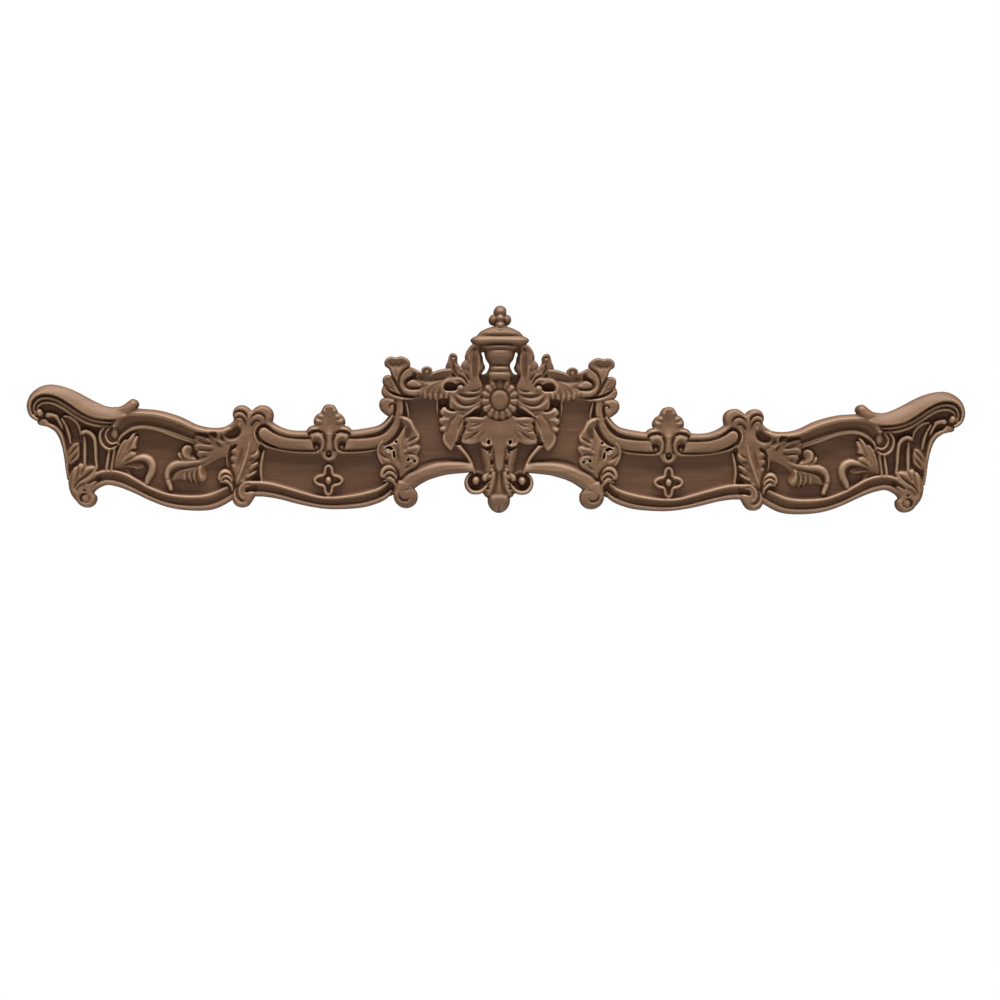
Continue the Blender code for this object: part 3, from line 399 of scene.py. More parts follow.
def grounds(r):
    """Sunk panels between the rails."""
    r.field(np.vstack([curve(WING_TOP), [(372, -16), (420, -10), (428, -40), (424, -88)],
                       curve(WING_LOW)[::-1]]), WING_GROUND)
    r.field(np.vstack([curve(MIDDLE_TOP), [(247, -14), (258, -14), (270, -40), (268, -96)],
                       curve(MIDDLE_LOW)[::-1]]), GROUND)
    upper = [(0, 50), (12, 50), (20, 46), (30, 36), (60, 22), (90, 18), (110, 8), (110, -16), (117, -26)]
    lower = [(118, -92), (108.5, -95.5), (104, -93.5), (86, -84), (60, -72), (40, -68), (26, -62),
             (24, -84), (8, -100), (0, -100)]
    r.field(np.array(upper + lower, float), GROUND)
    r.field(np.array([(8, 30), (10, 44), (14, 56.5), (21.5, 57), (23, 44), (22, 28), (12, 24)], float), 9.5)


def middle_rails(r):
    """Rails of the middle panel: above, a bead and a flat band; below, a cove between two beads."""
    r.moulding(MIDDLE_TOP, MIDDLE_TOP_IN, MIDDLE_RAIL_SECTION)
    band = [(100.2, 1), (99.9, -8), (100.9, -16), (103.8, -25), (109, -33), (116, -38.5), (125, -41.5),
            (138, -43), (165, -43.7), (200, -43.9), (214, -42.6), (223, -40), (230.5, -36), (234, -33.5)]
    r.strip(band, [4.1, 4.0, 4.8, 6.0, 6.2, 6.2, 6.2, 6.2, 6.6, 7.2],
            [12.4, 13.6, 14.4, 14.6, 14.6, 14.6, 14.6, 14.6], full_section, foot=10.5)
    r.moulding(MIDDLE_LOW, MIDDLE_LOW_IN, LOW_RAIL_SECTION)


def wing_rails(r):
    """Rails of the wing: a moulding with a bead above, a cove between two beads below."""
    r.moulding(WING_TOP, WING_TOP_IN, TOP_RAIL_SECTION)
    bead = [(304, -43.6), (312, -41), (324, -36.8), (337, -31.8), (346, -29.6), (355, -28.6), (362, -29.5),
            (368.5, -32.3), (374, -36), (377.5, -40.5), (379, -46)]
    r.strip(bead, [1.5, 1.8, 1.9, 2.0, 2.0], [12, 12.8, 13.5], foot=7.5)
    r.pocket([(361, -32.4), (366, -32.6), (371, -35.6), (375.6, -39.6), (378, -45), (375, -43.4),
              (372.5, -40), (367.5, -37.6)], 4.0, 0.9)
    r.moulding(WING_LOW, WING_LOW_IN, LOW_RAIL_SECTION)


def arch(r):
    """The plain rounded rail of the arch, which runs into the foot scroll."""
    r.groove([(30, -59.4), (46, -58.3), (60, -59.2), (70, -61.3), (84, -66.6)], 2.4, 1.6, 0.3)
    r.moulding(ARCH_TOP, ARCH_LOW, ARCH_SECTION)


def horn(r):
    """The horn over the end of the wing, with three grooved beads that curl round a ball."""
    upper = [(368, -16), (400, -18), (420, -6), (440, 3), (456, 4), (466, -4), (466, -13), (462, -20),
             (458, -23), (451, -26.5), (444, -29.5)]
    lower = [(437.5, -36), (433.5, -43.5), (431.6, -51), (430.4, -60), (429.5, -70), (428, -82), (426, -92),
             (420, -98), (405, -98), (398, -80), (398, -40), (370, -24)]
    r.field(np.array(upper + lower, float), GROUND)
    r.moulding(HORN_TOP, HORN_LOW, HORN_SECTION, even=True)
    # the rounded tip where the horn starts, over the rail
    level = lambda u, v: 18.6 - 3.6 * np.clip((u - 371) / 10, 0, 1)
    r.mass([(359, -6), (360.8, -1.9), (364.8, -0.4), (368.6, -2.8), (372, -5.6), (378, -8.4), (384, -9),
            (384, -19), (376, -19.6), (370.5, -18.2), (365.4, -14.6), (361.2, -10.6)], level, 5.2, 9)
    first = [(379, -23.3), (388, -24), (398, -23.1), (407, -20.9), (415.5, -17), (423.5, -12),
             (431.5, -6.7), (439, -2.6), (446.5, -0.4), (453, -0.5), (458, -2.6), (461.3, -7), (462, -12.5),
             (460.5, -17)]
    r.strip(first, [1.4, 2.3, 2.5, 2.5, 2.5, 2.4, 1.7], [14.5, 16.5, 16.5, 16.5, 15.5], foot=7, cut=0.55)
    second = [(381, -27.2), (390, -27.8), (399, -27.2), (408, -25), (416, -21.4), (424, -16.5),
              (431.5, -11.3), (439, -7), (446, -4.9), (452.5, -5), (457, -7.5), (458.8, -10.5)]
    r.strip(second, [1.3, 2.2, 2.4, 2.4, 2.2, 1.6], [13.5, 15.5, 15.5, 15.5, 14.5], foot=7, cut=0.55)
    r.boss((456.6, -14.6), 4.6, 16.2, foot=7, cut=0.6)
    # hollow under the curl, and the folded leaf below it
    r.pocket([(430, -16), (440, -9), (451, -7.5), (455, -10), (452, -17), (448, -13), (440, -15),
              (433, -18)], 5.5, 1.5)
    r.mass([(436.4, -20.4), (437.8, -17), (441.2, -15.2), (445.1, -14.4), (448.6, -14), (450.9, -15.6),
            (451.2, -18.4), (449.2, -20.4), (445.8, -19.6), (442.6, -20.2), (440, -22.6), (437.2, -27.6),
            (434.2, -31.4), (432.8, -30.2), (433.8, -25)], 13.8, 2.6, 6.5, cut=0.6)
    r.mass([(446, -24), (450, -20.8), (455, -21), (459, -24), (457, -27), (451, -27.8), (446.5, -28)], 12.5,
           2.5, 7.5)
    r.pocket([(440, -23.2), (443, -20.9), (447, -20.7), (449.4, -22.2), (447, -25.2), (442, -28.6),
              (438, -32), (436.4, -31)], 4.2, 1.5)
    edge = [(452, -26.2), (446.2, -27.2), (439.6, -31), (435.4, -37.2), (433, -44.4), (431.2, -53),
            (430, -61), (429, -69)]
    r.strip(edge, [1.8, 3.0, 3.2, 2.8, 2.3, 2.0, 1.7], 12.8, soft_section, foot=7.5)
    r.strip([(434.5, -20.5), (431.5, -26), (429, -32), (427.2, -38), (426, -45)], [1.5, 1.7, 1.8, 1.7, 1.3],
            13.8, foot=6, cut=0.8)
    r.strip([(432.5, -18.2), (428.5, -18.6), (423, -21.5), (418.6, -26), (416.8, -31), (416.3, -36)],
            [1.5, 2.0, 2.2, 1.9, 1.3], [14, 14.5, 13.8, 13], foot=6, cut=0.7)
    r.pocket([(431.5, -25.5), (433.5, -31), (431.5, -38.5), (428.8, -39)], 4, 1.0)
    r.pocket([(419.5, -29), (423, -24.5), (427.5, -24.8), (427, -32), (424.5, -40.5), (417.5, -41),
              (417.5, -35)], 5.0, 1.5)


def crook(r):
    """The crook that stands on the end leaf, and the small leaf beside it."""
    r.pocket([(398.5, -31), (404, -28.5), (413, -26.5), (415.5, -29), (408, -31), (402, -35), (399.5, -39)],
             4.5, 1.0)
    r.strip([(399.5, -70), (400.8, -60), (401.2, -48), (402.4, -40), (406.3, -35), (411, -33.3),
             (414, -34.5)], [1.5, 1.9, 2.1, 2.4, 2.7, 2.8, 2.6], [13.5, 14, 14.5, 15, 15.5], foot=6,
            cut=0.8)
    r.strip([(411.6, -68), (411.8, -56), (411.7, -46), (412.3, -38)], [2.1, 2.1, 2.0, 1.7], 13.2, foot=7,
            cut=0.4)
    r.pocket([(403.8, -66), (404.5, -50), (405.8, -41), (409, -37.5), (409.2, -50), (409, -66)], 5.2, 1.4)
    r.pocket([(414.3, -64), (414.6, -50), (415, -43), (416.6, -45), (416.3, -56), (416.2, -63)], 5.0, 1.0)
    r.mass([(416.5, -44.5), (420, -43.5), (425, -45.8), (429, -52), (430, -60), (429.3, -66),
            (425.5, -66.3), (420.5, -63.5), (417, -60), (415.8, -52)], 11.8, 3.0, 6.5)
    r.groove([(417.3, -46), (422.5, -51), (428.5, -59.5)], 1.1, 3.2)
    r.groove([(418, -54), (422, -58.5), (426.5, -64.5)], 1.1, 3.2)
    r.groove([(417.3, -60.5), (421, -64), (424, -67)], 1.0, 2.5)
    r.strip([(431.8, -50), (430.7, -58), (429.6, -68), (428, -80)], [1.2, 1.5, 1.5, 1.2], 12.2, foot=8)
    r.pocket([(418.6, -65.6), (421, -65.4), (424.3, -67.6), (425.6, -71.4), (422.6, -68.6)], 3.4, 0.8)


def end_leaf(r):
    """The leaf at the foot of the end, and the scroll that it runs into."""
    r.mass([(399, -70), (400.6, -67.2), (405, -66.3), (410.2, -66.8), (412.4, -65.2), (416.8, -64.4),
            (419, -66.8), (422.2, -68.6), (425, -72.6), (427.4, -79), (427.4, -88), (425, -95.5),
            (420, -102), (415, -107), (408.5, -108.8), (403, -106.4), (400.3, -102), (400.4, -97.4),
            (403.4, -93.8), (402.6, -89), (399, -82)], 14, 4.0, 8)
    r.swell([(401.6, -69.6), (407.4, -75), (412.6, -79.2), (417.2, -82.4), (420.8, -87.2), (422.2, -93.6)],
            [1.0, 1.7, 1.7, 1.6, 1.2], -3.4, 0.2)
    r.swell([(411, -66.6), (413, -72), (416, -77.6)], [1.0, 1.5, 1.0], -2.2, 0.2)
    r.swell([(418.6, -67), (418, -73), (419.6, -80), (422, -86)], [1.0, 1.7, 1.5, 1.0], -2.2, 0.2)
    r.swell([(424, -72.6), (424.9, -79), (425, -87)], [0.8, 1.2, 0.9], -1.8, 0.2)
    r.swell([(403.5, -68.4), (409.6, -71.6), (415, -78.2)], [1.5, 2.4, 1.6], 1.0)
    r.swell([(401.6, -74), (406.6, -79.6), (413.6, -83.4), (419, -89)], [1.5, 2.3, 2.3, 1.6], 1.1)
    r.swell([(409.6, -84.2), (414.6, -85.8), (418, -89.2), (419.4, -94)], [0.8, 1.3, 1.3, 0.9], -2.4, 0.2)
    # end of the lower rail's cove, and of its outer bead
    r.groove([(396, -78.4), (401, -80.4), (405.4, -82.8), (409.2, -85.6)], [2.6, 2.2, 1.6, 0.8],
             [4.5, 5, 4.6, 2.6], 0.1)
    # eye of the scroll
    r.groove(arc((411.2, -99.6), 4.4, 4.0, 118, -70, 9), [0.8, 1.5, 1.6, 1.2], 5.0, 0.2)
    r.groove(arc((411.2, -99.6), 4.2, 4.8, -60, -230, 9), [0.8, 1.1, 0.8], 1.8, 0.3)
    r.boss((410.9, -99.8), 2.9, 14.8, foot=10.5)
    r.swell(arc((411.2, -99.6), 7.2, 7.0, -40, -190, 9), 1.8, 0.9)
    r.hollow((411.6, -91.6), 1.2, 9)


def wing_volute(r):
    """The scroll where the wing's top rail ends, the eye open to its left, and the reeds below it."""
    r.mass([(379, -28.5), (388, -27.5), (395.5, -30), (398.3, -37), (396.8, -45), (391.5, -51), (384, -52),
            (380, -48), (379.5, -38)], 10.5, 2.0, 7.0)
    outer = [(393, -29.5), (396, -33.5), (396.7, -39), (395, -45), (391, -49.2), (385.5, -50.3),
             (381, -48.3)]
    r.strip(outer, [1.8, 2.0, 2.1, 2.1, 2.0, 1.6], 15.2, foot=7, cut=0.5)
    inner = [(387.3, -29.5), (390.5, -33.5), (391, -38.5), (388.5, -43.3), (384.5, -45.2), (380.3, -44)]
    r.strip(inner, [1.6, 1.8, 1.9, 1.8, 1.5], 14.8, foot=7, cut=0.8)
    r.mass([(379, -31), (382.5, -29.5), (386, -31), (387, -35), (385.5, -39), (382, -40.8), (379.3, -39),
            (378.5, -35)], 13.8, 3.5, 8, cut=1.1)
    for u in (382.5, 387.5):
        r.strip([(u, -51), (u + 0.8, -57), (u + 2.6, -70)], [2.0, 2.4, 2.3], 13.3, foot=6, cut=0.7)
    r.pocket([(391.5, -52.5), (397.5, -49), (398, -68), (393, -69)], 5.4, 1.5)


def heart_leaf(r):
    """The leaf spray that grows from the lower rail at the wing's outer end."""
    # four overlapping blades from one root
    r.mass([(368.4, -40.6), (372.6, -40.4), (376, -44), (379, -50), (382, -60), (382.4, -70.6), (376, -66),
            (371, -56), (368.6, -48)], 13.0, 2.6, 6.5, cut=0.4)
    r.swell([(373.4, -42.5), (376.8, -49), (379.2, -57), (380.8, -66)], [1.3, 2.0, 1.9, 1.2], 1.5, 0.2)
    r.mass([(360.8, -32.8), (365.2, -35), (369.2, -40), (372.4, -48), (376.4, -56), (381, -69.5),
            (376.4, -65.5), (370.6, -57), (366.4, -48), (362.4, -40)], 13.4, 2.4, 6.5, cut=0.5)
    r.swell([(362.8, -34.8), (367.4, -39.6), (371.2, -47.4), (375.8, -57.6), (379.6, -66.5)],
            [1.2, 1.9, 2.1, 1.7, 1.0], 1.1, 0.15)
    r.mass([(358.7, -36.6), (361.2, -37), (364.4, -41), (367.8, -47.6), (371.8, -55.4), (380.6, -69.4),
            (373, -65), (366.8, -60.8), (361.2, -58.8), (360.3, -54), (364, -51.5), (360.9, -50.4),
            (360.3, -45), (359, -40)], 13.2, 3.0, 6.5, cut=0.4)
    r.swell([(360.4, -38.8), (363, -44), (366.2, -50.4), (371, -57.6), (377.6, -66)],
            [1.4, 2.6, 2.8, 2.2, 1.3], 1.0, 0.15)
    r.groove([(361.2, -50.9), (364.6, -51), (367.8, -53.2), (371, -57.6)], [0.8, 1.0, 0.7], [4, 3, 1.4],
             0.0)
    r.swell([(361.8, -55.6), (366.4, -57), (371.6, -61.4), (377, -66.4)], [2.2, 2.8, 2.0, 1.0], 1.0, 0.2)
    # inner leaf with its two tips
    r.mass([(382, -70.4), (375.6, -66.2), (368, -63.6), (360, -62.6), (353.4, -64), (351.6, -68),
            (356, -70.4), (361.4, -70.8), (364.6, -69.8), (367.4, -71.6), (365.4, -75.6), (367.6, -76.6),
            (371, -73.6), (376.5, -71.6)], 9.6, 3.0, 6.2)
    r.groove([(363.6, -70.6), (369, -69.2), (376, -69)], [1.0, 1.1, 0.6], 2.0, 0.1)
    r.swell([(356, -68.8), (362.4, -68), (369, -66.8), (376, -67.8)], [1.5, 2.2, 1.8, 1.0], 1.3)
    # broad curl
    curl = [(381, -70.2), (374, -65.4), (367, -61.8), (360.4, -59.4), (354, -58.4), (348.8, -60.4),
            (345.6, -64.8), (345.2, -70.2), (346.8, -75.4), (349.2, -80), (350.3, -83.6)]
    r.strip(curl, [0.7, 1.1, 1.5, 2.2, 3.0, 3.9, 4.5, 4.4, 4.2, 3.7, 2.9],
            [12, 12.6, 13, 13.6, 14.4, 14.8, 14.6, 14.2, 13.8, 13.4, 13], foot=6.4, cut=0.4, lean=0.35)


def crest_leaf(r):
    """The leaf spray beside the joint: pointed lobes, nested petals, a fluted leaf and a long curl."""
    level = lambda u, v: 12.2 - 0.16 * np.clip(-v - 47 - 0.3 * (u - 272), 0, 11)
    r.mass([(266, -44), (272, -43.4), (279, -38.4), (284, -36.4), (288.8, -35.2), (290, -37.4),
            (296, -36.2), (302.8, -35), (304, -38.5), (303.2, -43.6), (304.8, -46), (304.2, -50),
            (301.4, -52.6), (302.2, -55), (299.6, -59), (301, -63), (298, -68), (293, -68.4), (289, -65.6),
            (283, -62), (276, -59), (269, -57)], level, 3.0, 6.5)
    r.swell([(274, -46), (279, -42.2), (284, -38.6), (288.2, -36.3)], [1.8, 2.2, 1.9, 1.1], 2.0, 0.2)
    r.groove([(276.4, -47.4), (279.6, -44.6), (282, -41.2)], [0.8, 1.3, 0.8], 2.4, 0.25)
    r.pocket([(281.5, -36.6), (281.8, -33.2), (289.4, -33.6), (289.4, -34.8), (285.6, -35.2)], 3.8, 0.7)
    r.pocket([(290.4, -36.8), (290, -34), (296, -33.2), (303.4, -33.2), (302.4, -34.7), (296.4, -35.5)],
             3.8, 0.7)
    r.swell([(287, -43.4), (291, -39.6), (296, -37.7), (302.2, -36.2)], [1.3, 2.2, 2.0, 1.3], 2.2, 0.15)
    r.swell([(302.6, -37), (302.4, -41), (301.4, -44.4)], [1.2, 1.4, 1.2], 1.2)
    r.groove([(286.6, -44.8), (291.6, -43.7), (296.4, -41.9), (299.6, -39.8)], [0.9, 1.6, 1.6, 0.9], 2.2,
             0.15)
    r.swell([(284, -47.6), (290, -46.8), (297, -46.2), (303.8, -46.8)], [1.4, 2.2, 2.1, 1.2], 2.0, 0.15)
    r.groove([(284, -49.8), (289.6, -50.8), (295.6, -50.7), (300.8, -49.5)], [0.9, 1.4, 1.2, 0.7], 2.3,
             0.15)
    r.swell([(289, -53.4), (295, -52.8), (301, -54.3)], [1.4, 2.1, 1.3], 1.6)
    r.groove([(290, -57), (294.4, -56.4), (298.4, -57.8)], [0.8, 1.2, 0.8], 1.7)
    # three nested petals
    r.mass([(317.4, -53.2), (319.8, -53.4), (320.5, -56.6), (318, -60.4), (313, -62.8), (307, -63.5),
            (308, -60), (314, -58)], 12.6, 1.7, 7, cut=0.3)
    dished = lambda u, v: 13.8 - 4.2 * dish(306.4, -53.4, 4.6, 6.5, u, v)
    r.mass([(304.6, -49.6), (306, -46.6), (309.8, -45.4), (314, -46.7), (316.5, -50.4), (316.4, -55.2),
            (314, -59), (309.6, -61.3), (303.6, -62), (300.6, -60.8), (303, -57.4), (305.6, -54)], dished,
           2.4, 6.5, cut=0.6)
    r.swell([(305.4, -52), (306.4, -56), (304.4, -59.6)], [1.2, 1.8, 1.2], -2.2)
    r.swell([(312.6, -48.4), (314.4, -52.6), (312.8, -57), (308.6, -59.8)], [1.4, 1.8, 1.8, 1.4], 1.0)
    r.pocket([(303.4, -49.8), (305.2, -48.6), (305.4, -52.8), (303.6, -56.4), (301.2, -58.6),
              (302.2, -55.2), (302, -52.8)], 3.4, 0.9)
    # fluted leaf under the curl
    level = lambda u, v: 11.4 - 0.9 * np.clip(296.5 - u, 0, 5.6) * np.clip((v + 80) / 7, 0, 1)
    r.mass([(291, -62), (298, -61.5), (308, -64), (316, -66), (322.5, -69.4), (326.4, -75), (327.6, -81.4),
            (324, -82.4), (318, -80.6), (312.6, -81.8), (309.6, -80.4), (306.6, -83), (304, -81.4),
            (301.2, -85.2), (299.4, -82.2), (296.4, -83), (292.2, -81.6), (290.6, -78), (290.6, -70)],
           level, 4.6, 6.4)
    r.swell([(297, -66), (298.4, -72), (297, -77), (294, -79.8)], [1.8, 2.5, 3.0, 2.6], 2.2, 0.2)
    flutes = (((299.8, -68.4), (299.8, -83.6), 2.4), ((304.6, -69.6), (304.2, -83), 2.0),
              ((309.2, -71), (309, -82), 1.6))
    for top, low, deep in flutes:
        r.groove([top, (top[0] + 1.4, (top[1] + low[1]) / 2 - 1), low], [0.7, 1.4, 1.1],
                 [0.4, deep, deep, deep], 0.0)
    for u, low in ((303, -83.6), (308, -81.6), (312.8, -80.4)):
        r.swell([(u - 0.4, -71), (u + 0.6, -76.5), (u - 0.8, low)], [1.2, 1.8, 1.3], 1.2)
    # long curl, and the fold inside it
    curl = [(284, -55.5), (290, -59.4), (297, -62), (304, -63.2), (312, -64.2), (319.6, -64.4),
            (326, -67.4), (329.8, -73), (330.2, -78.6), (328.9, -83.4), (327.4, -87.2), (326.7, -89.8)]
    r.strip(curl, [0.9, 1.2, 1.7, 2.3, 2.9, 3.5, 3.9, 3.9, 3.4, 3.2, 3.2, 2.5],
            [12, 12.2, 12.6, 13, 13.6, 14.4, 14.8, 14.4, 13.6, 13.6, 13.2, 12.8], foot=7, lean=-0.3)
    r.swell([(333.4, -80.4), (330, -80.2), (326.4, -79)], [1.0, 1.2, 1.0], -1.4)
    r.groove([(293, -62.6), (299, -65.6), (306, -67.2), (313.5, -68.6), (319.6, -70), (324.4, -73.6),
              (326.2, -78.4), (325.6, -82)], [0.6, 0.9, 1.1, 1.2, 1.1, 0.7], 2.3, 0.2)
    r.swell([(301, -68.8), (309, -70.4), (316, -71.8), (321, -75.2), (323.4, -79.6)],
            [1.0, 1.6, 1.9, 1.9, 1.3], 1.1, 0.25)


def joint(r):
    """The joint between the middle panel and the wing: two rolled heads over a ribbed leaf."""
    # the two heads run smoothly into one column
    heads = [(229, -26.5), (225.8, -20), (225.4, -13.5), (228, -8.6), (233, -5.9), (238.5, -5.8), (243, -8),
             (246.8, -11), (250, -8), (255, -5.7), (260, -6.3), (264.2, -9.6), (265.9, -15), (264.6, -20.5),
             (267.6, -24), (272.5, -29), (276.5, -36), (274, -43), (268, -46), (262, -49), (256, -54),
             (249, -56), (242, -52), (237, -46), (241, -39), (241.4, -32), (238, -27.6), (233, -25)]
    level = lambda u, v: 13.4 + 2.4 * np.clip((v + 27) / 9, 0, 1) - 1.8 * np.clip((-36 - v) / 12, 0, 1)
    r.mass(heads, level, 4.2, 8, cut=0.4)
    ring = [(220, -34), (226, -31), (231.5, -27.3), (235.8, -26.2), (239.8, -28.6), (241.4, -33),
            (240, -37.8), (236, -41.8), (230, -45), (222, -47.7)]
    r.groove(ring, [0.9, 1.2, 1.4, 1.5, 1.6, 1.6, 1.5, 1.4, 1.2, 0.9], 5.6, 0.1)
    r.groove([(233, -21.5), (233.8, -17.5), (236.8, -14.4), (241.3, -13.7), (245.3, -16), (248.2, -20)],
             [0.9, 1.3, 1.4, 1.2, 0.8], 4.6, 0.25)
    r.groove([(237.8, -22.6), (240.6, -20.8), (244, -21.8), (246, -24.2), (247.6, -27.8)],
             [0.8, 1.2, 1.2, 0.7], 4.2, 0.25)
    r.groove([(251.2, -20), (252.2, -15.5), (255.3, -12.4), (259.3, -11.6), (262.6, -13.2), (264.9, -16.6)],
             [0.9, 1.3, 1.4, 1.2, 0.8], 4.6, 0.25)
    r.groove([(253, -26), (253.6, -21.5), (256, -18.3), (259.2, -17.3), (262, -18.6), (264.2, -21)],
             [0.8, 1.2, 1.2, 0.8], 4.2, 0.25)
    r.swell([(243.5, -25), (245.5, -31), (246, -38), (244, -44)], [1.4, 2.4, 2.4, 1.4], -1.2)
    r.swell([(249.5, -14), (249.7, -22), (250.3, -30)], [1.5, 2.0, 1.5], 0.9)
    # plate around the end of the flat band
    r.swell([(235.5, -24.6), (240.6, -26.8), (243.4, -31.6), (243, -37.6), (239.6, -43.2), (234, -47),
             (227, -49.4)], [1.2, 1.8, 2.0, 1.8, 1.3], 1.8, 0.2)
    # oval hollow under the right head
    r.strip([(265, -24), (270.5, -28), (276.2, -31.8), (279.6, -36.2), (278.6, -41), (273, -44)],
            [1.2, 1.9, 2.4, 2.7, 2.6, 1.8], [14, 14.6, 14.4, 13.6, 12.8], foot=8)
    r.pocket([(258.8, -24.2), (256.4, -28.6), (256.2, -34), (259.4, -39), (265.2, -41.4), (271.4, -40.8),
              (275, -37), (274.2, -32.4), (268.6, -28.2), (263, -24.4)], 5.4, 5.0)
    # ribbed leaf: smooth right half, feathered left half
    r.mass([(243, -38), (250, -35), (257, -38), (262.5, -45), (267.4, -50.2), (268, -53), (266.4, -55),
            (268.4, -58.4), (267.6, -61.6), (266, -63), (267.6, -66.5), (266.2, -71), (264, -78),
            (262.5, -86), (256, -84.5), (249, -81.5), (245, -78), (241.8, -73.6), (240.3, -69.5),
            (242.8, -68.6), (239.8, -66.2), (239, -61.8), (241.5, -60.6), (239, -57.8), (238.2, -51.5),
            (240, -46)], lambda u, v: 11.6 + 1.2 * np.clip((v + 50) / 12, 0, 1), 3.2, 6.5)
    notches = ([(238.6, -59.6), (242.5, -61.8), (247, -64.5)], [(239.6, -68), (244.5, -71), (250, -75)],
               [(243.6, -75.6), (248.5, -78.4), (254, -81.8)])
    for notch in notches:
        r.groove(notch, [0.9, 1.2, 0.7], [5, 3.6, 1.6], 0.0)
    blades = ([(239.6, -52), (243.4, -55.8), (248.6, -58.5)], [(240.4, -62.4), (245, -66.3), (251, -69.5)],
              [(242.2, -71), (247.5, -75), (254, -78.4)], [(250, -81.8), (255, -82), (259.5, -83)])
    for blade in blades:
        r.swell(blade, [1.8, 2.6, 1.6], 2.0, 0.3)
    creases = ([(241.6, -51), (245.5, -54), (249.4, -55.5)], [(243, -57.6), (247, -60), (251, -62)],
               [(246, -66), (250, -67.4), (253.5, -70)])
    for crease in creases:
        r.swell(crease, [1.0, 1.5, 1.0], -1.8)
    lobes = (((266.8, -51.6), (259.5, -54.5)), ((267.6, -59), (260.5, -62)), ((266.6, -67), (261.8, -70)))
    for tip, root in lobes:
        r.swell([tip, midpoint(tip, root, 1.2), root], [1.8, 2.6, 1.8], 0.5)
    for tip, root in (((266.4, -55.6), (261.5, -57.6)), ((265.8, -63.2), (262, -65.4))):
        r.swell([tip, root], [1.3, 1.0], -0.8)
    r.swell([(255.4, -47), (257.8, -58), (261, -70)], [1.8, 2.8, 1.8], -2.0)
    r.pocket([(261.2, -45.6), (263.4, -44.4), (266.4, -47.4), (268.4, -49.6), (269.6, -53), (269.3, -58),
              (268, -56), (267.8, -52.4), (265, -49.3), (262.3, -48)], 4.0, 0.7)
    r.strip([(270.6, -50), (271.3, -56), (271, -63), (270.2, -68)], [0.8, 1.1, 1.1, 0.8], 10.8, foot=6.5)
    r.pocket([(235.2, -47), (238, -44.8), (239.6, -47), (238.4, -50.8), (236.2, -51)], 3.4, 0.8)
    r.pocket([(237.6, -56), (238.8, -58.8), (240.6, -60.4), (239.8, -63.6), (238.6, -63)], 3.6, 0.6)
    r.pocket([(238.6, -68), (240, -71), (242.3, -75.2), (246.4, -79.8), (245, -81), (238, -81)], 3.4, 0.9)
    r.strip([(234.4, -51), (236, -58), (237.2, -65), (237.5, -73), (236.3, -81.5)],
            [1.2, 1.7, 1.8, 1.7, 1.3], [11.6, 12.6, 12.6, 12], foot=6.5)
    midrib = [(249.2, -40), (249.6, -47), (251.2, -55), (253.6, -63), (256.4, -71), (259.4, -78.5),
              (262.6, -85)]
    r.swell(midrib, [2.0, 2.6, 2.9, 3.1, 3.0, 2.6, 1.8], [1.2, 2.6, 3.4, 3.9, 3.9, 3.4, 2.6], 0.12)
    r.swell([(250.6, -60), (253.2, -68), (256.8, -76.5)], [1.0, 1.4, 1.0], -1.5)


def joint_foot(r):
    """The hooded bud and the foot scroll of the joint."""
    bud(r, (272.3, -80), 1.0)
    r.strip([(265.6, -91), (266.2, -86.8), (268.6, -83.4), (272.6, -81.7), (277.6, -82.4)],
            [1.2, 1.7, 2.0, 2.0, 1.3], [13, 14.2, 14.2, 13.4], foot=7.5, cut=0.4)
    r.groove([(267.6, -93), (268.2, -87.8), (271.2, -85), (276, -85.6)], [0.8, 1.3, 1.3, 0.8], 4.0, 0.2)
    r.mass([(243.6, -97), (243, -91), (246.5, -84.6), (255.5, -83.2), (261.5, -87), (264.8, -93),
            (265.6, -99.5), (262.6, -105.2), (256.5, -107.8), (250.5, -106.4), (246.5, -102)], 13.2, 3.4, 8,
           cut=0.3)
    r.strip([(247, -82.2), (252.4, -83.2), (256.8, -87), (258.2, -92), (257, -96.6), (254, -98.8)],
            [1.5, 2.0, 2.3, 2.3, 2.1, 1.5], [13.5, 14.4, 14.6, 14.2], foot=8)
    r.groove([(258.4, -85.6), (260.8, -89.8), (261, -94.8), (259, -98.8), (255.6, -100.8), (252.2, -100.3)],
             [0.8, 1.2, 1.4, 1.3, 0.8], 4.0, 0.2)
    r.swell([(262.6, -88.5), (263.6, -95), (261.3, -101.4), (256, -104.6), (250.6, -104)], 1.6, 0.9)
    r.pocket([(240, -85.2), (247.5, -85.8), (252.2, -87.4), (253.6, -90.4), (252.4, -93.2), (247.5, -92.4),
              (240, -91.2)], 6.4, 2.0)


def bud(r, foot, size):
    """A hooded bud of three nested arches over its foot point."""
    def at(points):
        return [(foot[0] + size * u, foot[1] + size * v) for u, v in points]
    r.mass(at([(-7.8, -2), (-7, 4.5), (-3.8, 9.3), (0.3, 10.8), (4.8, 9.3), (7.8, 4.5), (8, -0.5),
               (4, -2.5), (-1, -5), (-5, -7)]), 15.6, 3.4, 7.5, cut=0.5)
    r.groove(at([(-6.9, -1.5), (-5, 3.4), (-0.8, 5.8), (3, 4.3), (5.5, 0.2)]),
             [0.7 * size, 0.95 * size, 0.7 * size], 4.4, 0.2)
    r.groove(at([(-6, -3.8), (-3.8, -0.4), (-0.4, 1.1), (2.3, 0.1), (3.8, -1.8)]),
             [0.7 * size, 0.95 * size, 0.7 * size], 4.4, 0.2)


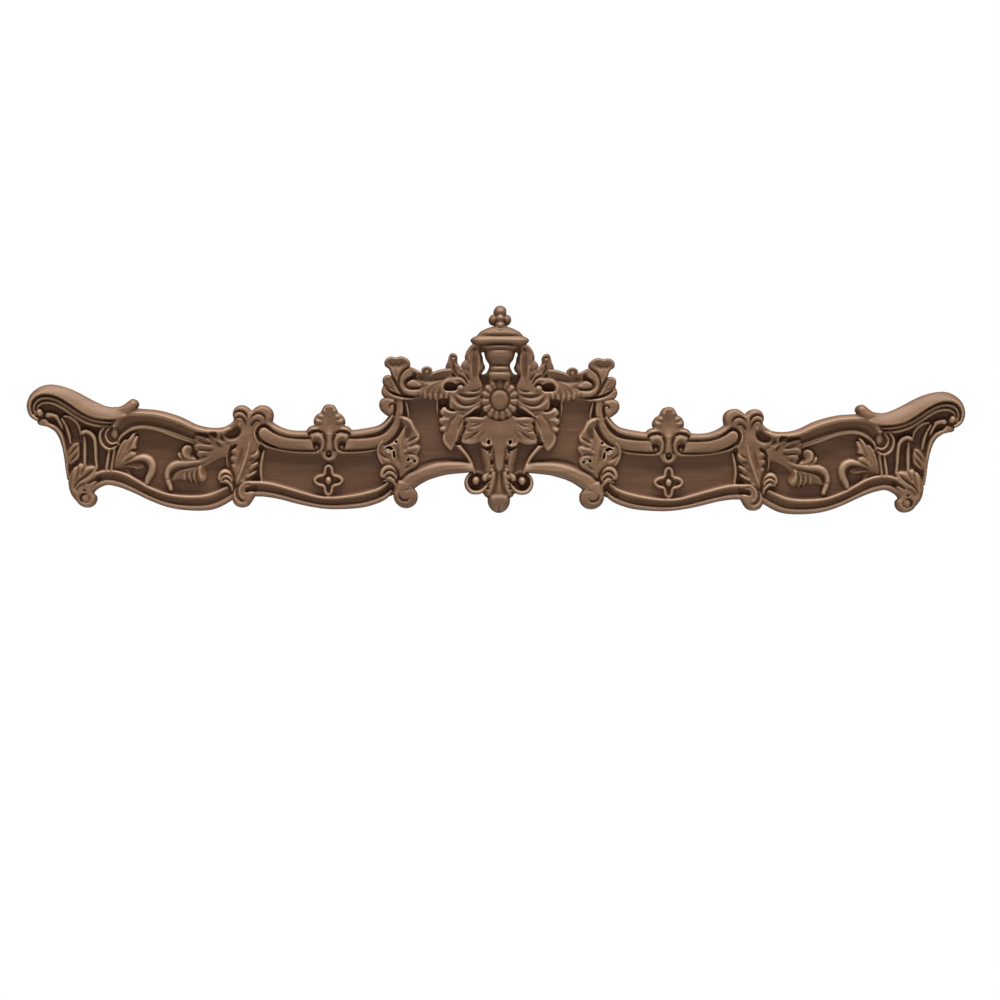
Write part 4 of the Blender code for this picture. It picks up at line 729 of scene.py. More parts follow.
def palmette(r):
    """The fan of leaf lobes on the middle rail, over a stem, two volutes and a small ball."""
    middle = 169.6

    def both(points):
        return [(middle + u, v) for u, v in points], [(middle - u, v) for u, v in points]
    dished = lambda u, v: 15.2 - 2.7 * dish(middle, -22, 5.5, 12, u, v)
    half = [(0, -4), (4.2, -5), (7, -8.4), (9, -12.4), (12.4, -14.6), (15, -18), (15.9, -22.2),
            (15.2, -24.8), (19, -26.3), (22.4, -29.6), (23.4, -33), (19, -36), (10, -37), (4.4, -41),
            (4.2, -50), (0, -52)]
    right, left = both(half)
    r.mass(right + left[::-1][1:-1], dished, 4.2, 8, cut=0.5)
    for part in (0, 1):
        pick = lambda points: both(points)[part]
        # lobes: a soft swell to each tip, a soft crease between
        for lobe in ([(6.8, -9.6), (3, -13)], [(12.2, -14.8), (5, -17.6)], [(14.4, -20.6), (6.5, -22)],
                     [(19.6, -29.6), (10, -28.8)]):
            r.swell(pick(lobe), [2.8, 1.8], 1.6, 0.3)
        for crease in ([(9.6, -12.2), (4.2, -15.4)], [(14, -17.4), (7, -19.4)], [(15.2, -23.6), (8, -24.4)]):
            r.swell(pick(crease), [1.5, 1.2], -0.7, 0.3)
        r.swell(pick([(0, -6), (4.3, -8.4), (6.3, -12)]), [1.5, 2.0, 1.3], 0.9)
        r.pocket(pick([(5.5, -33), (8, -30.4), (13, -29.3), (18.4, -30.6), (21.4, -33.2), (20.6, -36),
                       (18, -33.5), (12, -31.8), (8, -33.4)]), 7.2, 1.3)
        r.groove(pick([(6.2, -31), (4.4, -37), (4.3, -44), (5, -50)]), [1.2, 1.6, 1.5, 1.1], 4.2, 0.2)
        volute = [(16.6, -37), (13.2, -35.6), (9.4, -36.7), (6.6, -40.6), (6, -45.6), (8, -50), (12, -51.6)]
        r.strip(pick(volute), [3.3, 3.6, 3.2, 2.6, 2.1, 1.8, 1.2], [16.2, 16.6, 16.4, 15.6, 14.8, 14],
                foot=7, cut=0.5)
        r.pocket(pick([(8.2, -46.4), (9, -42.8), (11.4, -40.6), (14.6, -40.4), (17, -42.2), (16.4, -45.4),
                       (15.4, -49), (12.6, -50.6), (9.4, -49.6)]), 6.4, 1.5)
        r.boss(pick([(12.4, -46.8)])[0], 3.0, 12.8, foot=6, stretch=1.1)
    r.swell([(middle, -28), (middle, -38), (middle, -49)], [1.5, 2.4, 2.2], 1.2)
    apron = [(0, -49), (5, -49.6), (9.6, -50.6), (9, -55), (6.4, -58.8), (3, -61), (0, -61.6)]
    right, left = both(apron)
    r.mass(right + left[::-1][1:-1], 12.8, 3.6, 7.5, cut=0.3)
    r.hollow((middle + 0.4, -53.8), 3.0, 4.0, 1.3)
    r.boss((middle + 0.4, -53), 1.9, 12.8, foot=5)


def quatrefoil(r):
    """Four pointed petals with a rounded rim, hollow inside, around an oval ball."""
    middle, low = 170.2, -80.3
    quarter = [(0, 14.8), (2.1, 13.6), (3.3, 10.6), (3.7, 7.2), (5.6, 5.2), (9, 4.3), (12, 2.6),
               (13.7, 0.2)]
    right = quarter + [(u, -0.98 * v) for u, v in quarter[::-1][1:]]
    ring = [(middle + u, low + v) for u, v in right] + [(middle - u, low + v) for u, v in right[::-1][1:]]
    wide = [(middle + 1.16 * (u - middle), low + 1.14 * (v - low)) for u, v in ring]
    r.mass(wide, 8.6, 2.4, 6.5)
    r.pocket(ring, 6.2, 1.4)
    r.strip(ring + ring[1:3], 2.1, 11.6, foot=6.2)
    r.boss((middle, low + 0.1), 3.5, 13.2, foot=6, stretch=1.25)


def bracket_top(r):
    """The scroll, slot and bead where the crest meets the middle panel."""
    r.mass([(104, 1), (108, 2.5), (114, 3.2), (118.8, 0.5), (120.3, -4), (119, -9), (115, -13),
            (110.5, -15.5), (106, -13), (104.5, -6)], 15.2, 3.6, 8.5)
    r.groove([(105, -15), (104, -9.5), (104.6, -5), (107.2, -3.2), (109.6, -5.3), (110, -9)],
             [0.9, 1.1, 1.2, 1.1, 0.8], 4.2, 0.25)
    r.groove([(105.3, -12), (106.3, -18), (109, -23.5), (113.5, -27.8), (119, -31)], [0.9, 1.3, 1.4, 1.3],
             3.5, 0.2)
    r.pocket([(92.2, -15.6), (93, -9), (94.6, -1.4), (96.2, -1), (95.4, -8), (95, -15.8)], 3.6, 0.7)
    r.strip([(90.9, -16), (91.9, -9), (93.6, -1)], [1.1, 1.4, 1.2], 12.4, foot=7)


def bracket(r):
    """The acanthus leaf of the bracket."""
    r.mass([(99.5, -15.5), (92, -16), (87, -19.8), (84.3, -26), (80.6, -31.5), (79, -36), (79.8, -40),
            (81.6, -42.5), (78.6, -45.2), (78.6, -49.5), (81, -53.8), (79.8, -57.5), (79.6, -62),
            (82.5, -66.6), (90, -71.2), (96.5, -76.5), (99.5, -77), (101.5, -71), (105.5, -66.8),
            (112, -65), (117.5, -64), (121, -57.5), (122, -50), (119.8, -44), (116.8, -41.5),
            (114.5, -43.5), (108, -40.6), (103, -36.5), (99.4, -31), (97.2, -25.5), (98.6, -21)], 13.4, 3.6,
           7.5, cut=0.45)
    r.groove([(94.4, -23.2), (97, -27), (100.2, -31.8), (104, -36.9), (108.8, -41.3), (114.8, -44.8)],
             [0.8, 1.5, 1.6, 1.6, 1.3, 1.0], [3.5, 5.5, 6, 6, 5], 0.12)
    r.swell([(99.5, -17.4), (94.2, -18.4), (89.4, -21.4), (86.2, -26.5), (84, -32)], [2.0, 2.9, 2.9, 2.2],
            2.3, 0.2)
    r.swell([(92.5, -23.5), (91, -29), (91.5, -35), (94, -40)], [2.0, 4.2, 4.6, 2.5], -3.4)
    r.swell([(81, -35.5), (84.5, -36.8), (88.5, -39.3), (92.5, -43)], [1.0, 1.9, 2.2, 1.2], -2.8)
    r.swell([(80.3, -32.5), (80.8, -38), (84, -41)], 1.7, 1.2)
    r.swell([(81.8, -42.6), (85.5, -44), (91, -46.5)], [1.0, 1.7, 1.0], -2.0)
    r.swell([(79.8, -46.5), (85, -47.6), (92, -49.5), (97, -53)], [1.6, 2.4, 2.4, 1.4], 1.3)
    r.groove([(82.3, -55.2), (86, -52.8), (90.5, -52.4), (95, -55)], [0.8, 1.1, 1.1, 0.8], 2.4)
    r.swell([(81.8, -59.3), (84.3, -56.6), (88, -55.6), (92, -56.8)], [1.0, 1.4, 1.5, 1.0], 1.3)
    r.swell([(85.5, -62.6), (88.3, -60.4), (91.5, -61.8)], 1.3, 1.0)
    r.groove([(88.3, -63), (91.3, -66), (95.2, -69)], [0.7, 1.2, 0.8], 2.2)
    r.swell([(97.5, -36), (99, -42), (98.5, -50), (97, -58), (96.5, -66)], [2.0, 3.0, 3.0, 2.0], 1.5)
    r.swell([(93.5, -46), (93.3, -51)], 2.2, -1.0)
    r.swell([(101.3, -45), (101.6, -51), (101.3, -58), (100, -64)], [1.0, 1.5, 1.6, 1.1], -1.8)
    # lobes around the deep openings
    r.swell([(101.8, -44.3), (104.8, -43.3), (108, -44.3)], 1.3, 1.4)
    r.swell([(107.5, -52.5), (110.6, -52.6), (113.8, -50.2)], 1.3, 1.8)
    r.swell([(106.6, -52.5), (106.8, -58), (105.5, -63)], [1.2, 1.8, 1.3], 1.2)
    r.groove([(119.4, -49), (118.2, -52.8), (114.8, -56), (110.5, -58.3)], [0.8, 1.1, 1.1, 0.8], 2.6)
    r.swell([(108, -61.5), (112.5, -60.5), (116.5, -57.5)], [1.5, 2.2, 1.5], 1.0)
    r.strip([(116.6, -41.6), (119.2, -44.4), (121, -49), (120.7, -55), (118.6, -60), (116, -63.8)],
            [1.2, 1.5, 1.4, 1.3, 1.3, 1.0], [16.2, 15.8, 15, 14.4, 13.6], foot=8)


def bracket_foot(r):
    """The hooded bud and the foot scroll of the bracket, which the arch rail runs into."""
    bud(r, (110, -75.8), 1.15)
    r.strip([(105.6, -92), (103.8, -88.4), (103.4, -84.4), (105.8, -80.6), (110, -78.8), (114.8, -80.2)],
            [1.2, 1.8, 2.0, 2.2, 2.2, 1.5], [11.6, 13.2, 14.2, 14.4, 13.6], foot=7.5, cut=0.4)
    r.pocket([(105.6, -86), (106.8, -82.8), (109.6, -82.4), (111.6, -86), (116, -89.6), (121, -93),
              (119, -96.4), (112.5, -93.6), (108.2, -90)], 5.6, 1.8)
    level = lambda u, v: 15.6 - 0.9 * np.clip((v + 92) / -14, 0, 1)
    r.mass([(84.5, -87.5), (88, -84.5), (94, -80), (100.5, -79.5), (102.8, -85), (105, -92), (105.3, -96.5),
            (103.3, -101.5), (98.5, -106), (92.5, -107.5), (86.5, -105.8), (82.3, -101.5), (81, -96),
            (82, -91)], level, 3.4, 8.5)
    r.groove([(103, -93), (101.8, -99), (97.5, -103), (92, -104.3), (87, -102.3), (84.8, -97.5),
              (85.3, -93)], [0.9, 1.2, 1.2, 0.9], 1.4)
    r.groove([(99.8, -92.5), (99.4, -96.2), (96.6, -99.0), (92.6, -99.3), (89.3, -97)],
             [0.9, 1.3, 1.4, 0.9], 3.8, 0.25)
    r.swell([(86.3, -90), (90.5, -88.5), (95, -91)], 1.8, -1.0)


def crest(r):
    """The band, fringe, ribbon and rolled head beside the urn."""
    r.mass([(48, 30), (58, 31), (66, 28), (70, 26), (84, 29.5), (90, 33), (98, 30), (108, 30), (108.5, 25),
            (113, 24.5), (116, 22), (115.5, 17), (113.5, 13.5), (116.5, 10), (116, 5), (113, 2), (100, 1),
            (84, 1), (70, 3), (50, 4)], 9.5, 1.5, 7)
    # band with its fringe of short lobes
    def face(u, v):
        sunk_line = np.exp(-((v - 23.4 + 0.14 * (u - 60)) / 4.0) ** 2)
        return 12.6 - 3.0 * sunk_line * np.clip((u - 50) / 9, 0, 1)
    r.mass([(49, 14), (48, 31.5), (58, 31.3), (66, 28.4), (70.5, 26), (78, 27.5), (85, 29.5), (84, 22),
            (82, 12), (83, 6.5), (79.5, 4), (76.5, 2.4), (72.8, 1.6), (70.4, 3.3), (66.8, 1.6), (63.8, 3),
            (60.5, 1), (57.4, 3.2), (53.8, 1.6), (50.5, 4)], face, 2.6, 7, cut=0.5)
    for k, (u, v) in enumerate(((53, 6), (58.5, 5.2), (64, 4.8), (69.4, 5.2), (74.4, 6.6), (79, 8.2))):
        r.boss((u, v), 3.3, 13.6, soft_section, foot=9, stretch=1.4, turn=12 - 9 * k)
        r.groove([(u + 2.8, v - 3), (u + 2.4, v + 3), (u + 0.6 - k, v + 9)], [1.0, 1.2, 0.8],
                 [2.8, 1.5, 0.3], 0.0)
    r.swell([(58, 21), (64, 18.5), (70, 15), (75, 11.5)], [1.6, 2.4, 2.2, 1.4], 1.0)
    # top rim, ball and the small rim that rises to the ribbon
    r.strip([(49.5, 30.8), (55, 30.3), (61, 29), (66, 27.2), (70, 25.3)], [1.7, 2.0, 1.9, 1.4],
            [14.8, 15, 14.6, 13.6], foot=8)
    r.boss((72.8, 29), 4.9, 14.4, soft_section, foot=8)
    r.strip([(68.3, 27.3), (68.8, 31.2), (72.5, 33.2), (76.6, 31.6), (78, 28.4)], [0.9, 1.3, 1.4, 1.3, 0.9],
            14.8, foot=9)
    r.strip([(77.5, 27.8), (81.5, 28.5), (85.5, 30.2), (89.5, 32.4)], [1.3, 1.7, 2.0, 1.6], 14.8, foot=8)
    r.swell([(73, 24.5), (78, 23.8), (82.5, 25.3)], [1.5, 2.6, 1.8], -2.2)
    # rim over the concave oval
    r.swell([(72, 16.8), (78, 18.6), (84, 20.8), (90, 20.8), (93, 18.8)], [1.4, 2.0, 2.0, 1.3], 2.0)
    # broad ribbon that turns under the head
    level = lambda u, v: 14.4 - 0.3 * np.clip(84 - u, 0, 13)
    r.mass([(84.3, 29.5), (89.5, 33.4), (95, 30.6), (99.2, 25.8), (101.2, 19.5), (100.4, 13.2), (96.8, 8),
            (91, 5.2), (84, 4.8), (77, 6.4), (70.5, 9.8), (75, 12.6), (83, 11.8), (90, 11.8), (94.2, 14.2),
            (94.8, 18), (92.4, 21.6), (87.4, 24.6)], level, 3.0, 9)
    r.mass([(77, 15.4), (80.4, 18.6), (85, 21.2), (90, 20.8), (93.2, 18), (93.4, 15), (90.2, 13.2),
            (84, 12.8), (79, 13.2)], 13.8, 3.0, 9)
    r.groove([(71.5, 14.8), (76, 13.8), (82, 12.8), (88, 12.4), (92.6, 14)], [0.7, 1.0, 1.1, 1.0, 0.7], 2.2,
             0.25)
    r.groove([(84, 25.6), (88.6, 22.8), (93.4, 19)], [1.4, 1.8, 1.0], 6.4, 0.12)
    # rolled head and its stem
    def dished(u, v):
        rib = np.exp(-((u - 103.8) / 1.5) ** 2) * np.clip((v - 30) / 8, 0, 1)
        return 14.8 - 3.0 * dish(103.5, 37, 8.5, 4.6, u, v) + 0.8 * rib
    r.mass([(89.8, 34), (89.6, 38.3), (92.6, 42), (98, 44.3), (103.8, 43.2), (108.8, 44), (113, 42),
            (115.3, 38.2), (114.6, 34.6), (111.3, 32.3), (109.6, 29.3), (108.3, 25.5), (104.8, 20.5),
            (101.6, 14.5), (97.5, 8), (100.4, 14), (101, 20), (99, 26), (95.3, 30.6)], dished, 2.4, 8,
           cut=0.7)
    r.swell([(90.8, 36), (92.5, 40), (98, 42.4), (103.7, 41.4), (109, 42.3), (112.8, 40), (113.4, 36.2)],
            [1.4, 2.0, 2.1, 1.7, 2.1, 2.0, 1.4], 1.6, 0.12)
    for rim, root in (((96.6, 41), (102.8, 31)), ((103.6, 41), (104.5, 31)), ((110, 40.8), (105.8, 31))):
        r.swell([rim, midpoint(rim, root), root], [1.1, 1.4, 0.8], -1.3)
    r.swell([(105, 33), (104.3, 27), (102.6, 21)], [2.2, 1.8, 1.2], -1.0)
    # right-hand lobes
    r.mass([(96, 5), (100, 9.5), (103, 15.5), (105.6, 21), (108.3, 24.8), (112.8, 25.4), (116.3, 22.8),
            (117, 18.8), (116.2, 15.6), (117, 12.4), (112.4, 9.4), (106, 6.8), (100, 5)], 14.0, 3.2, 8,
           cut=0.4)
    r.groove([(103, 9), (109, 12.4), (116.4, 15.6)], [0.8, 1.3, 1.2], [1.2, 2.2, 3.0], 0.0)
    r.swell([(107, 22.6), (111.5, 23.8), (114.8, 21.5), (114.6, 17.2)], [1.2, 1.9, 1.9, 1.2], 1.5)
    r.swell([(103.5, 11.5), (108, 15), (111, 19)], [1.6, 2.6, 1.8], -1.0)
    r.mass([(83, 2.6), (90, 3.2), (98, 3.9), (104, 5.6), (109, 8), (113.8, 12.4), (117.3, 12.4), (118, 8),
            (116, 4), (110, 1.8), (103, 0.6), (95, 0.2), (87, 0.8)], 13.6, 2.0, 7.5, cut=0.3)
    r.groove([(83.8, 4.4), (90, 4.1), (97, 4.7), (104, 6.8), (109.3, 9.4), (114.6, 13)],
             [0.8, 1.2, 1.3, 1.3, 0.9], 4.4, 0.15)


def urn_leaf(r):
    """The tall leaf beside the urn, and the bud beside it."""
    r.mass([(16, 8), (16.3, 15), (19, 22), (20, 26), (18.6, 28.5), (16.4, 31), (15.2, 34), (16, 37),
            (17.4, 40.5), (18, 44.5), (19.8, 49), (19.4, 54), (20.6, 57.4), (27.5, 56.8), (32.6, 51.3),
            (34.8, 45.3), (35, 41), (40, 33), (46, 27), (40, 20), (38, 10), (34, 5), (22, 5), (15, 6)],
           13.4, 3.8, 9)
    r.mass([(30, 37.5), (33.5, 41.3), (37, 39), (38.8, 35.6), (38, 32.3), (33, 30.5), (29.8, 33)], 14.0,
           3.4, 10)
    r.swell([(21, 53.5), (20.6, 46), (20.6, 38), (21.2, 30), (21.8, 22)], [1.5, 1.9, 1.8, 1.3], 1.5)
    r.swell([(25.6, 50), (24.9, 43), (24.6, 35), (24.8, 27), (24.2, 18)], [1.8, 3.0, 2.8, 1.8], -2.4)
    r.swell([(30, 50), (30.4, 44), (29.8, 37), (28.5, 28), (26.8, 18)], [1.8, 2.8, 2.6, 1.7], 1.5)
    r.swell([(20.8, 55.9), (26.8, 55.2), (31.2, 50.6), (33.4, 45), (33.6, 41.3)], [1.4, 2.0, 1.9, 1.4], 1.9,
            0.15)
    r.groove([(21.6, 54.2), (24.4, 52.2), (26.3, 49)], [0.8, 1.2, 0.7], 2.6)
    r.swell([(30.8, 41), (29.8, 37.3), (30.2, 33.5)], 1.2, -1.5)
    r.swell([(31, 33.2), (32, 29.5)], 1.9, -1.5)
    r.swell([(36.3, 33.5), (35.8, 30.5)], 1.6, -1.4)
    r.swell([(18.2, 39), (17.8, 34.5), (19.8, 30)], 1.8, 1.0)
    # creases that run up from the ribbons
    r.groove([(29.8, 19.5), (31.8, 23.2), (34.6, 27.4)], [0.7, 1.1, 0.8], 3.2, 0.25)
    r.groove([(31.8, 15.5), (33.6, 19.3), (36.2, 23.3), (40.5, 25.2), (46, 25.8)],
             [0.7, 1.1, 1.2, 1.1, 0.7], 3.4, 0.25)
    r.swell([(32.4, 18), (34.3, 22.2), (37, 26.2), (41.5, 28)], [1.0, 1.3, 1.3, 1.0], 1.0)
    # bud
    r.mass([(39.5, 34), (42.3, 38.5), (42.2, 43.4), (44, 46.9), (47.8, 48.1), (50.2, 46.2), (52, 40),
            (54.2, 33), (51, 28), (44, 26.5), (38, 29)], 12.6, 3.0, 8, cut=0.3)
    r.strip([(43.2, 39.5), (43.4, 43.6), (46, 46.4), (49, 45.9)], [0.8, 1.1, 1.3, 1.0], [13.5, 14.6, 14.2],
            foot=9)
    r.swell([(49.8, 45), (51, 40), (52.4, 34.5)], [1.3, 1.8, 1.5], 1.5)
    r.boss((46.2, 41.8), 2.7, 14.6, foot=8, cut=0.6)
    r.groove([(46.4, 38.4), (46.2, 33.5), (44.6, 29), (41.5, 25.8)], [0.8, 1.3, 1.3, 0.9], 3.0, 0.25)
    r.swell([(37.3, 29.8), (40.3, 33.3), (44, 36.2)], [1.3, 1.7, 1.3], 1.6)
    r.swell([(47.5, 29), (50.5, 27.2), (53, 25.5)], 1.6, 1.2)


def scroll(r):
    """The scroll between the urn leaf and the fringe, with its ball and its deep hollow."""
    r.mass([(32, 13), (34, 19), (39, 23.3), (46, 24.6), (53, 24), (58.6, 19.5), (61, 12.5), (58.5, 5.5),
            (50, 5.5), (42, 6), (35, 8)], 12.8, 3.0, 8)
    r.swell([(47, 21.5), (52.4, 20.8), (56.8, 16.8), (58.3, 11.5), (56.4, 6.5)], [1.6, 2.2, 2.2, 1.6], 1.6)
    r.swell([(34, 14.5), (35.3, 18.8), (39.4, 21.7), (43.6, 21.6), (46.5, 19.5)], [1.0, 1.5, 1.7, 1.5, 1.1],
            1.7)
    r.pocket([(34.8, 14.2), (35.6, 17.4), (39, 18.8), (43, 17.2), (45.8, 18.4), (50, 19.2), (54, 17.8),
              (55.9, 14), (54.8, 10.6), (50, 9.7), (45, 9.9), (42.6, 11.4), (41.6, 15), (38.6, 16.2),
              (36.2, 14)], 3.4, 1.3)
    r.boss((44.2, 18.9), 1.5, 13.6, soft_section, foot=8, stretch=1.3, turn=-30)
    r.boss((38.6, 12.9), 4.1, 15.0, foot=8)
    r.swell([(34.8, 10.5), (38, 7.6), (42.5, 8.6)], 1.5, 1.2)


def openings(r):
    """The ornamental slot beside the urn's stem."""
    ring = [(15.6, 49.2), (17.6, 49.3), (18.2, 47.5), (17, 44), (16.6, 40), (15.6, 37), (14.6, 34.5),
            (14.9, 32), (16.4, 29.8), (17.9, 27.6), (16.5, 27), (13.6, 28.3), (11.9, 31), (10.5, 34.5),
            (10.7, 38), (12.7, 40.6), (14.2, 43.5), (14.9, 46.5)]
    r.pierce(loop(ring, 4))


# Turned profile of the urn: height, half width, height of its middle over the back

URN_BASE = [(20, 10.5, 15), (24, 11.2, 18.5), (25.2, 11.6, 20.5), (27, 11.9, 21.3), (28.8, 11.4, 20),
            (29.6, 10.2, 17.5), (30.6, 10.4, 19.5), (32.4, 10.6, 21), (34.2, 10, 20), (35.2, 9.2, 16.5),
            (36.2, 9, 16)]
URN_BOWL = [(37.2, 9.4, 18.5), (39.5, 11, 20.2), (42, 12.9, 21.6), (45, 14.1, 22.6), (48, 14.4, 22.8),
            (50.3, 14, 22.2), (51.2, 14.6, 19.6), (52.2, 16.5, 20), (53.5, 18, 22.4), (55.2, 18.6, 22.6),
            (56, 19, 19)]
URN_LID = [(56.7, 22.5, 16.8), (57.4, 26.6, 19.5), (58.6, 27.8, 22.5), (60, 28.9, 24), (61.2, 29.5, 24.3),
           (62.8, 28.4, 23.4), (64.3, 25.6, 21), (65, 23.9, 18.6), (65.8, 22.9, 20.4), (67, 21.9, 21.6),
           (69, 20.3, 21.2), (71, 17, 20.3), (73, 12.8, 18.8), (74.4, 8.6, 17), (75.2, 6, 15.4)]


def urn(r):
    """The covered urn, with a knop of four balls."""
    profile = np.array(URN_BASE + URN_BOWL + URN_LID, float)
    levels, halves, tops = profile.T
    part = r.window(np.array([(0, levels[0]), (halves.max(), levels[-1])]), 2 * r.step)
    u, v = r.u[part], r.v[part]
    half = np.interp(v, levels, halves)
    height = EDGE + (np.interp(v, levels, tops) - EDGE) * round_section(np.clip(u / half, 0, 1)) ** 0.9
    r.add(part, height, np.minimum(half - u, np.minimum(v - levels[0], levels[-1] - v)))
    r.boss((6.3, 81.6), 4.9, 17, foot=EDGE, stretch=1.1, turn=12)
    r.boss((0, 89.2), 6.5, 19, foot=EDGE, cut=0.5)
    r.boss((0, 82.8), 4.6, 20.5, foot=12, cut=0.4)
    r.boss((0, 75.8), 5.7, 20.5, foot=EDGE, cut=0.7)
    # small turned-down leaves under the foot
    r.boss((2.6, 21.3), 2.6, 18.5, soft_section, foot=12, stretch=1.2, turn=-20)
    r.boss((8, 18.8), 3.0, 17, soft_section, foot=10, stretch=1.3, turn=30)


def rosette(r):
    """A smooth, nearly flat middle inside a ring of petals."""
    centre = np.array((0.0, 1.5))
    r.boss(centre, 18.4, 8.5, full_section, foot=8.5, stretch=1.12, cut=0.7, replace=True)
    petals = 15
    for k in range(petals):
        angle = math.radians(-90 + 360 * (k + 0.5) / petals)
        way = np.array((math.cos(angle), 1.12 * math.sin(angle)))
        if way[0] > -0.3:
            r.strip([centre + way * 8.5, centre + way * 12.3, centre + way * 15.2], [2.3, 3.4, 4.1],
                    [15.0, 16.2, 15.8], foot=9.5, cut=0.2, deep=2.4)
    r.boss(centre, 10.2, 11.6, full_section, foot=11.6, stretch=1.12, replace=True)
    r.boss(centre, 9.8, 17.6, flat_section, foot=11.6, stretch=1.13)


def ribbons(r):
    """The ribbons that leave the rosette, and the hollows between them."""
    r.mass([(14, 12), (20, 12.5), (27, 11), (35, 10.4), (41, 9.8), (46, 10), (50.3, 8.3), (50.8, 2),
            (50.6, -5), (48.8, -8.8), (46, -8.6), (44, -11), (40, -14), (39, -18), (35, -15.5), (30, -12),
            (24, -8.5), (19, -6), (16, 0)], 12.8, 2.8, 9.5)
    r.groove([(18.6, 13), (22, 10.9), (26, 9.9), (31, 10.2)], [0.7, 1.1, 0.7], 2.6, 0.25)
    r.groove([(19.5, 7.2), (24, 6), (28.5, 5.2), (34, 5.2), (38.5, 6.2), (43, 9)],
             [0.8, 1.1, 1.2, 1.1, 0.7], 3.0, 0.2)
    r.groove([(19.5, 1), (24, -1.4), (29, -3.4), (34.5, -3.9), (39, -2.2), (42.5, 1), (46, 5)],
             [0.8, 1.1, 1.1, 0.8], 2.8, 0.2)
    r.swell([(20.5, 8.8), (27, 7.6), (33, 7.4), (39, 8.6)], [1.3, 1.7, 1.7, 1.2], 1.0)
    r.swell([(21, 3.6), (28, 1.2), (35, 0.6), (40.5, 3), (45.5, 7.8)], [1.6, 2.4, 2.6, 1.8], 1.6)
    r.swell([(23, -2.6), (30, -6.3), (37, -6.8), (43.5, -4.2), (47.6, 0.3), (49, 6)],
            [1.4, 2.2, 2.4, 2.2, 1.6], 1.7)
    r.groove([(29, -8.4), (35, -8.9), (41, -8.6), (46, -9.2)], [0.7, 1.0, 0.8], 1.6)
    r.swell([(32, -10.5), (39, -10.4), (46, -11)], [1.2, 2.0, 1.6], 1.0)
    r.strip([(22.5, -5.8), (27, -9), (32.5, -13), (38, -17)], [0.8, 1.2, 1.3, 1.0], [14, 14.6, 14], foot=9)
    r.pocket([(17.6, -8), (20, -6.8), (23.5, -8.2), (27.5, -11.3), (31.5, -14.9), (28, -14.5), (22, -13.8),
              (18.2, -12.8)], 3.0, 1.3)
    r.pocket([(50.3, 2), (52, -4), (51, -8.3), (46.8, -9.8), (47.5, -8.3), (49.8, -7), (50.3, -3)], 3.2,
             0.8)
    r.pocket([(51.6, 1.8), (60, 1.8), (60.4, -4.5), (59.3, -9.5), (57.3, -6.3), (54.3, -5.2), (52, -4.8)],
             2.6, 1.2)
    r.strip([(62, 3.5), (62.4, -3), (62.2, -10), (61.6, -18)], [1.0, 1.4, 1.2, 0.8], [11.5, 11, 9.5, 8],
            foot=6.5)


def outer_fan(r):
    """The broad leaf at the outer side of the cartouche."""
    ring = [(36, -14), (38.5, -10.6), (43, -9.4), (48, -9.6), (52, -8.2), (54.6, -5.6), (57.6, -7.2),
            (59.8, -11.6), (58.6, -15), (60.3, -17.5), (60.6, -21.5), (58.4, -24.6), (60, -26.8),
            (59.6, -30), (57, -31.6), (57.4, -36.5), (56.4, -42), (53, -46.8), (48.4, -50), (45.4, -47.6),
            (43.2, -43.5), (39.8, -39.5), (37.4, -34.5), (35.6, -30), (34.8, -25), (34.6, -19)]
    r.mass(ring, 13.2, 3.0, 8, cut=0.5)
    r.swell([(41.5, -13), (45.5, -16), (49, -20.5), (51.2, -26), (52.2, -31), (51.8, -35)],
            [1.2, 1.7, 1.5, 1.0], -1.6, 0.25)
    r.swell([(37, -17.5), (39.6, -24), (41.2, -31)], [1.0, 1.5, 1.0], -1.8, 0.2)
    r.swell([(38.4, -30.5), (39.8, -35.5), (42, -40.5)], [0.9, 1.4, 1.0], -2.4, 0.2)
    r.swell([(37.6, -21), (39.8, -28), (42.2, -35.5), (44.6, -43)], [1.2, 1.8, 1.8, 1.2], 1.6)
    r.swell([(42, -15.5), (45.6, -22), (47.2, -31), (48.4, -41)], [1.6, 3.2, 4.0, 2.8], 0.8)
    r.swell([(43, -11.8), (50, -11.6), (55.4, -8.8)], [1.5, 2.2, 1.8], 1.9, 0.2)
    r.swell([(49.5, -18.6), (55, -19.2), (59, -20)], [1.6, 2.5, 1.6], 1.3, 0.2)
    r.swell([(53, -27.5), (56, -28), (58.8, -28.6)], [1.3, 1.9, 1.3], 1.4, 0.2)
    r.swell([(55.6, -32.5), (55.7, -38), (53.4, -43.8), (48.6, -48.2)], [1.4, 2.0, 2.0, 1.6], 1.0, 0.2)
    r.swell([(52.8, -33), (52.8, -38), (50.8, -43)], [1.3, 1.7, 1.2], -0.7)
    notches = (((53.6, -15.2), (59.6, -15.2)), ((53.4, -24), (59.6, -24.8)), ((53, -31.2), (58.4, -31.8)))
    for start, end in notches:
        r.groove([start, ((start[0] + end[0]) / 2, start[1] + 0.3), end], [0.7, 1.1, 1.1], [0.6, 1.4, 2.2],
                 0.0)
    r.hollow((58.4, -15.8), 1.4, 5.5)


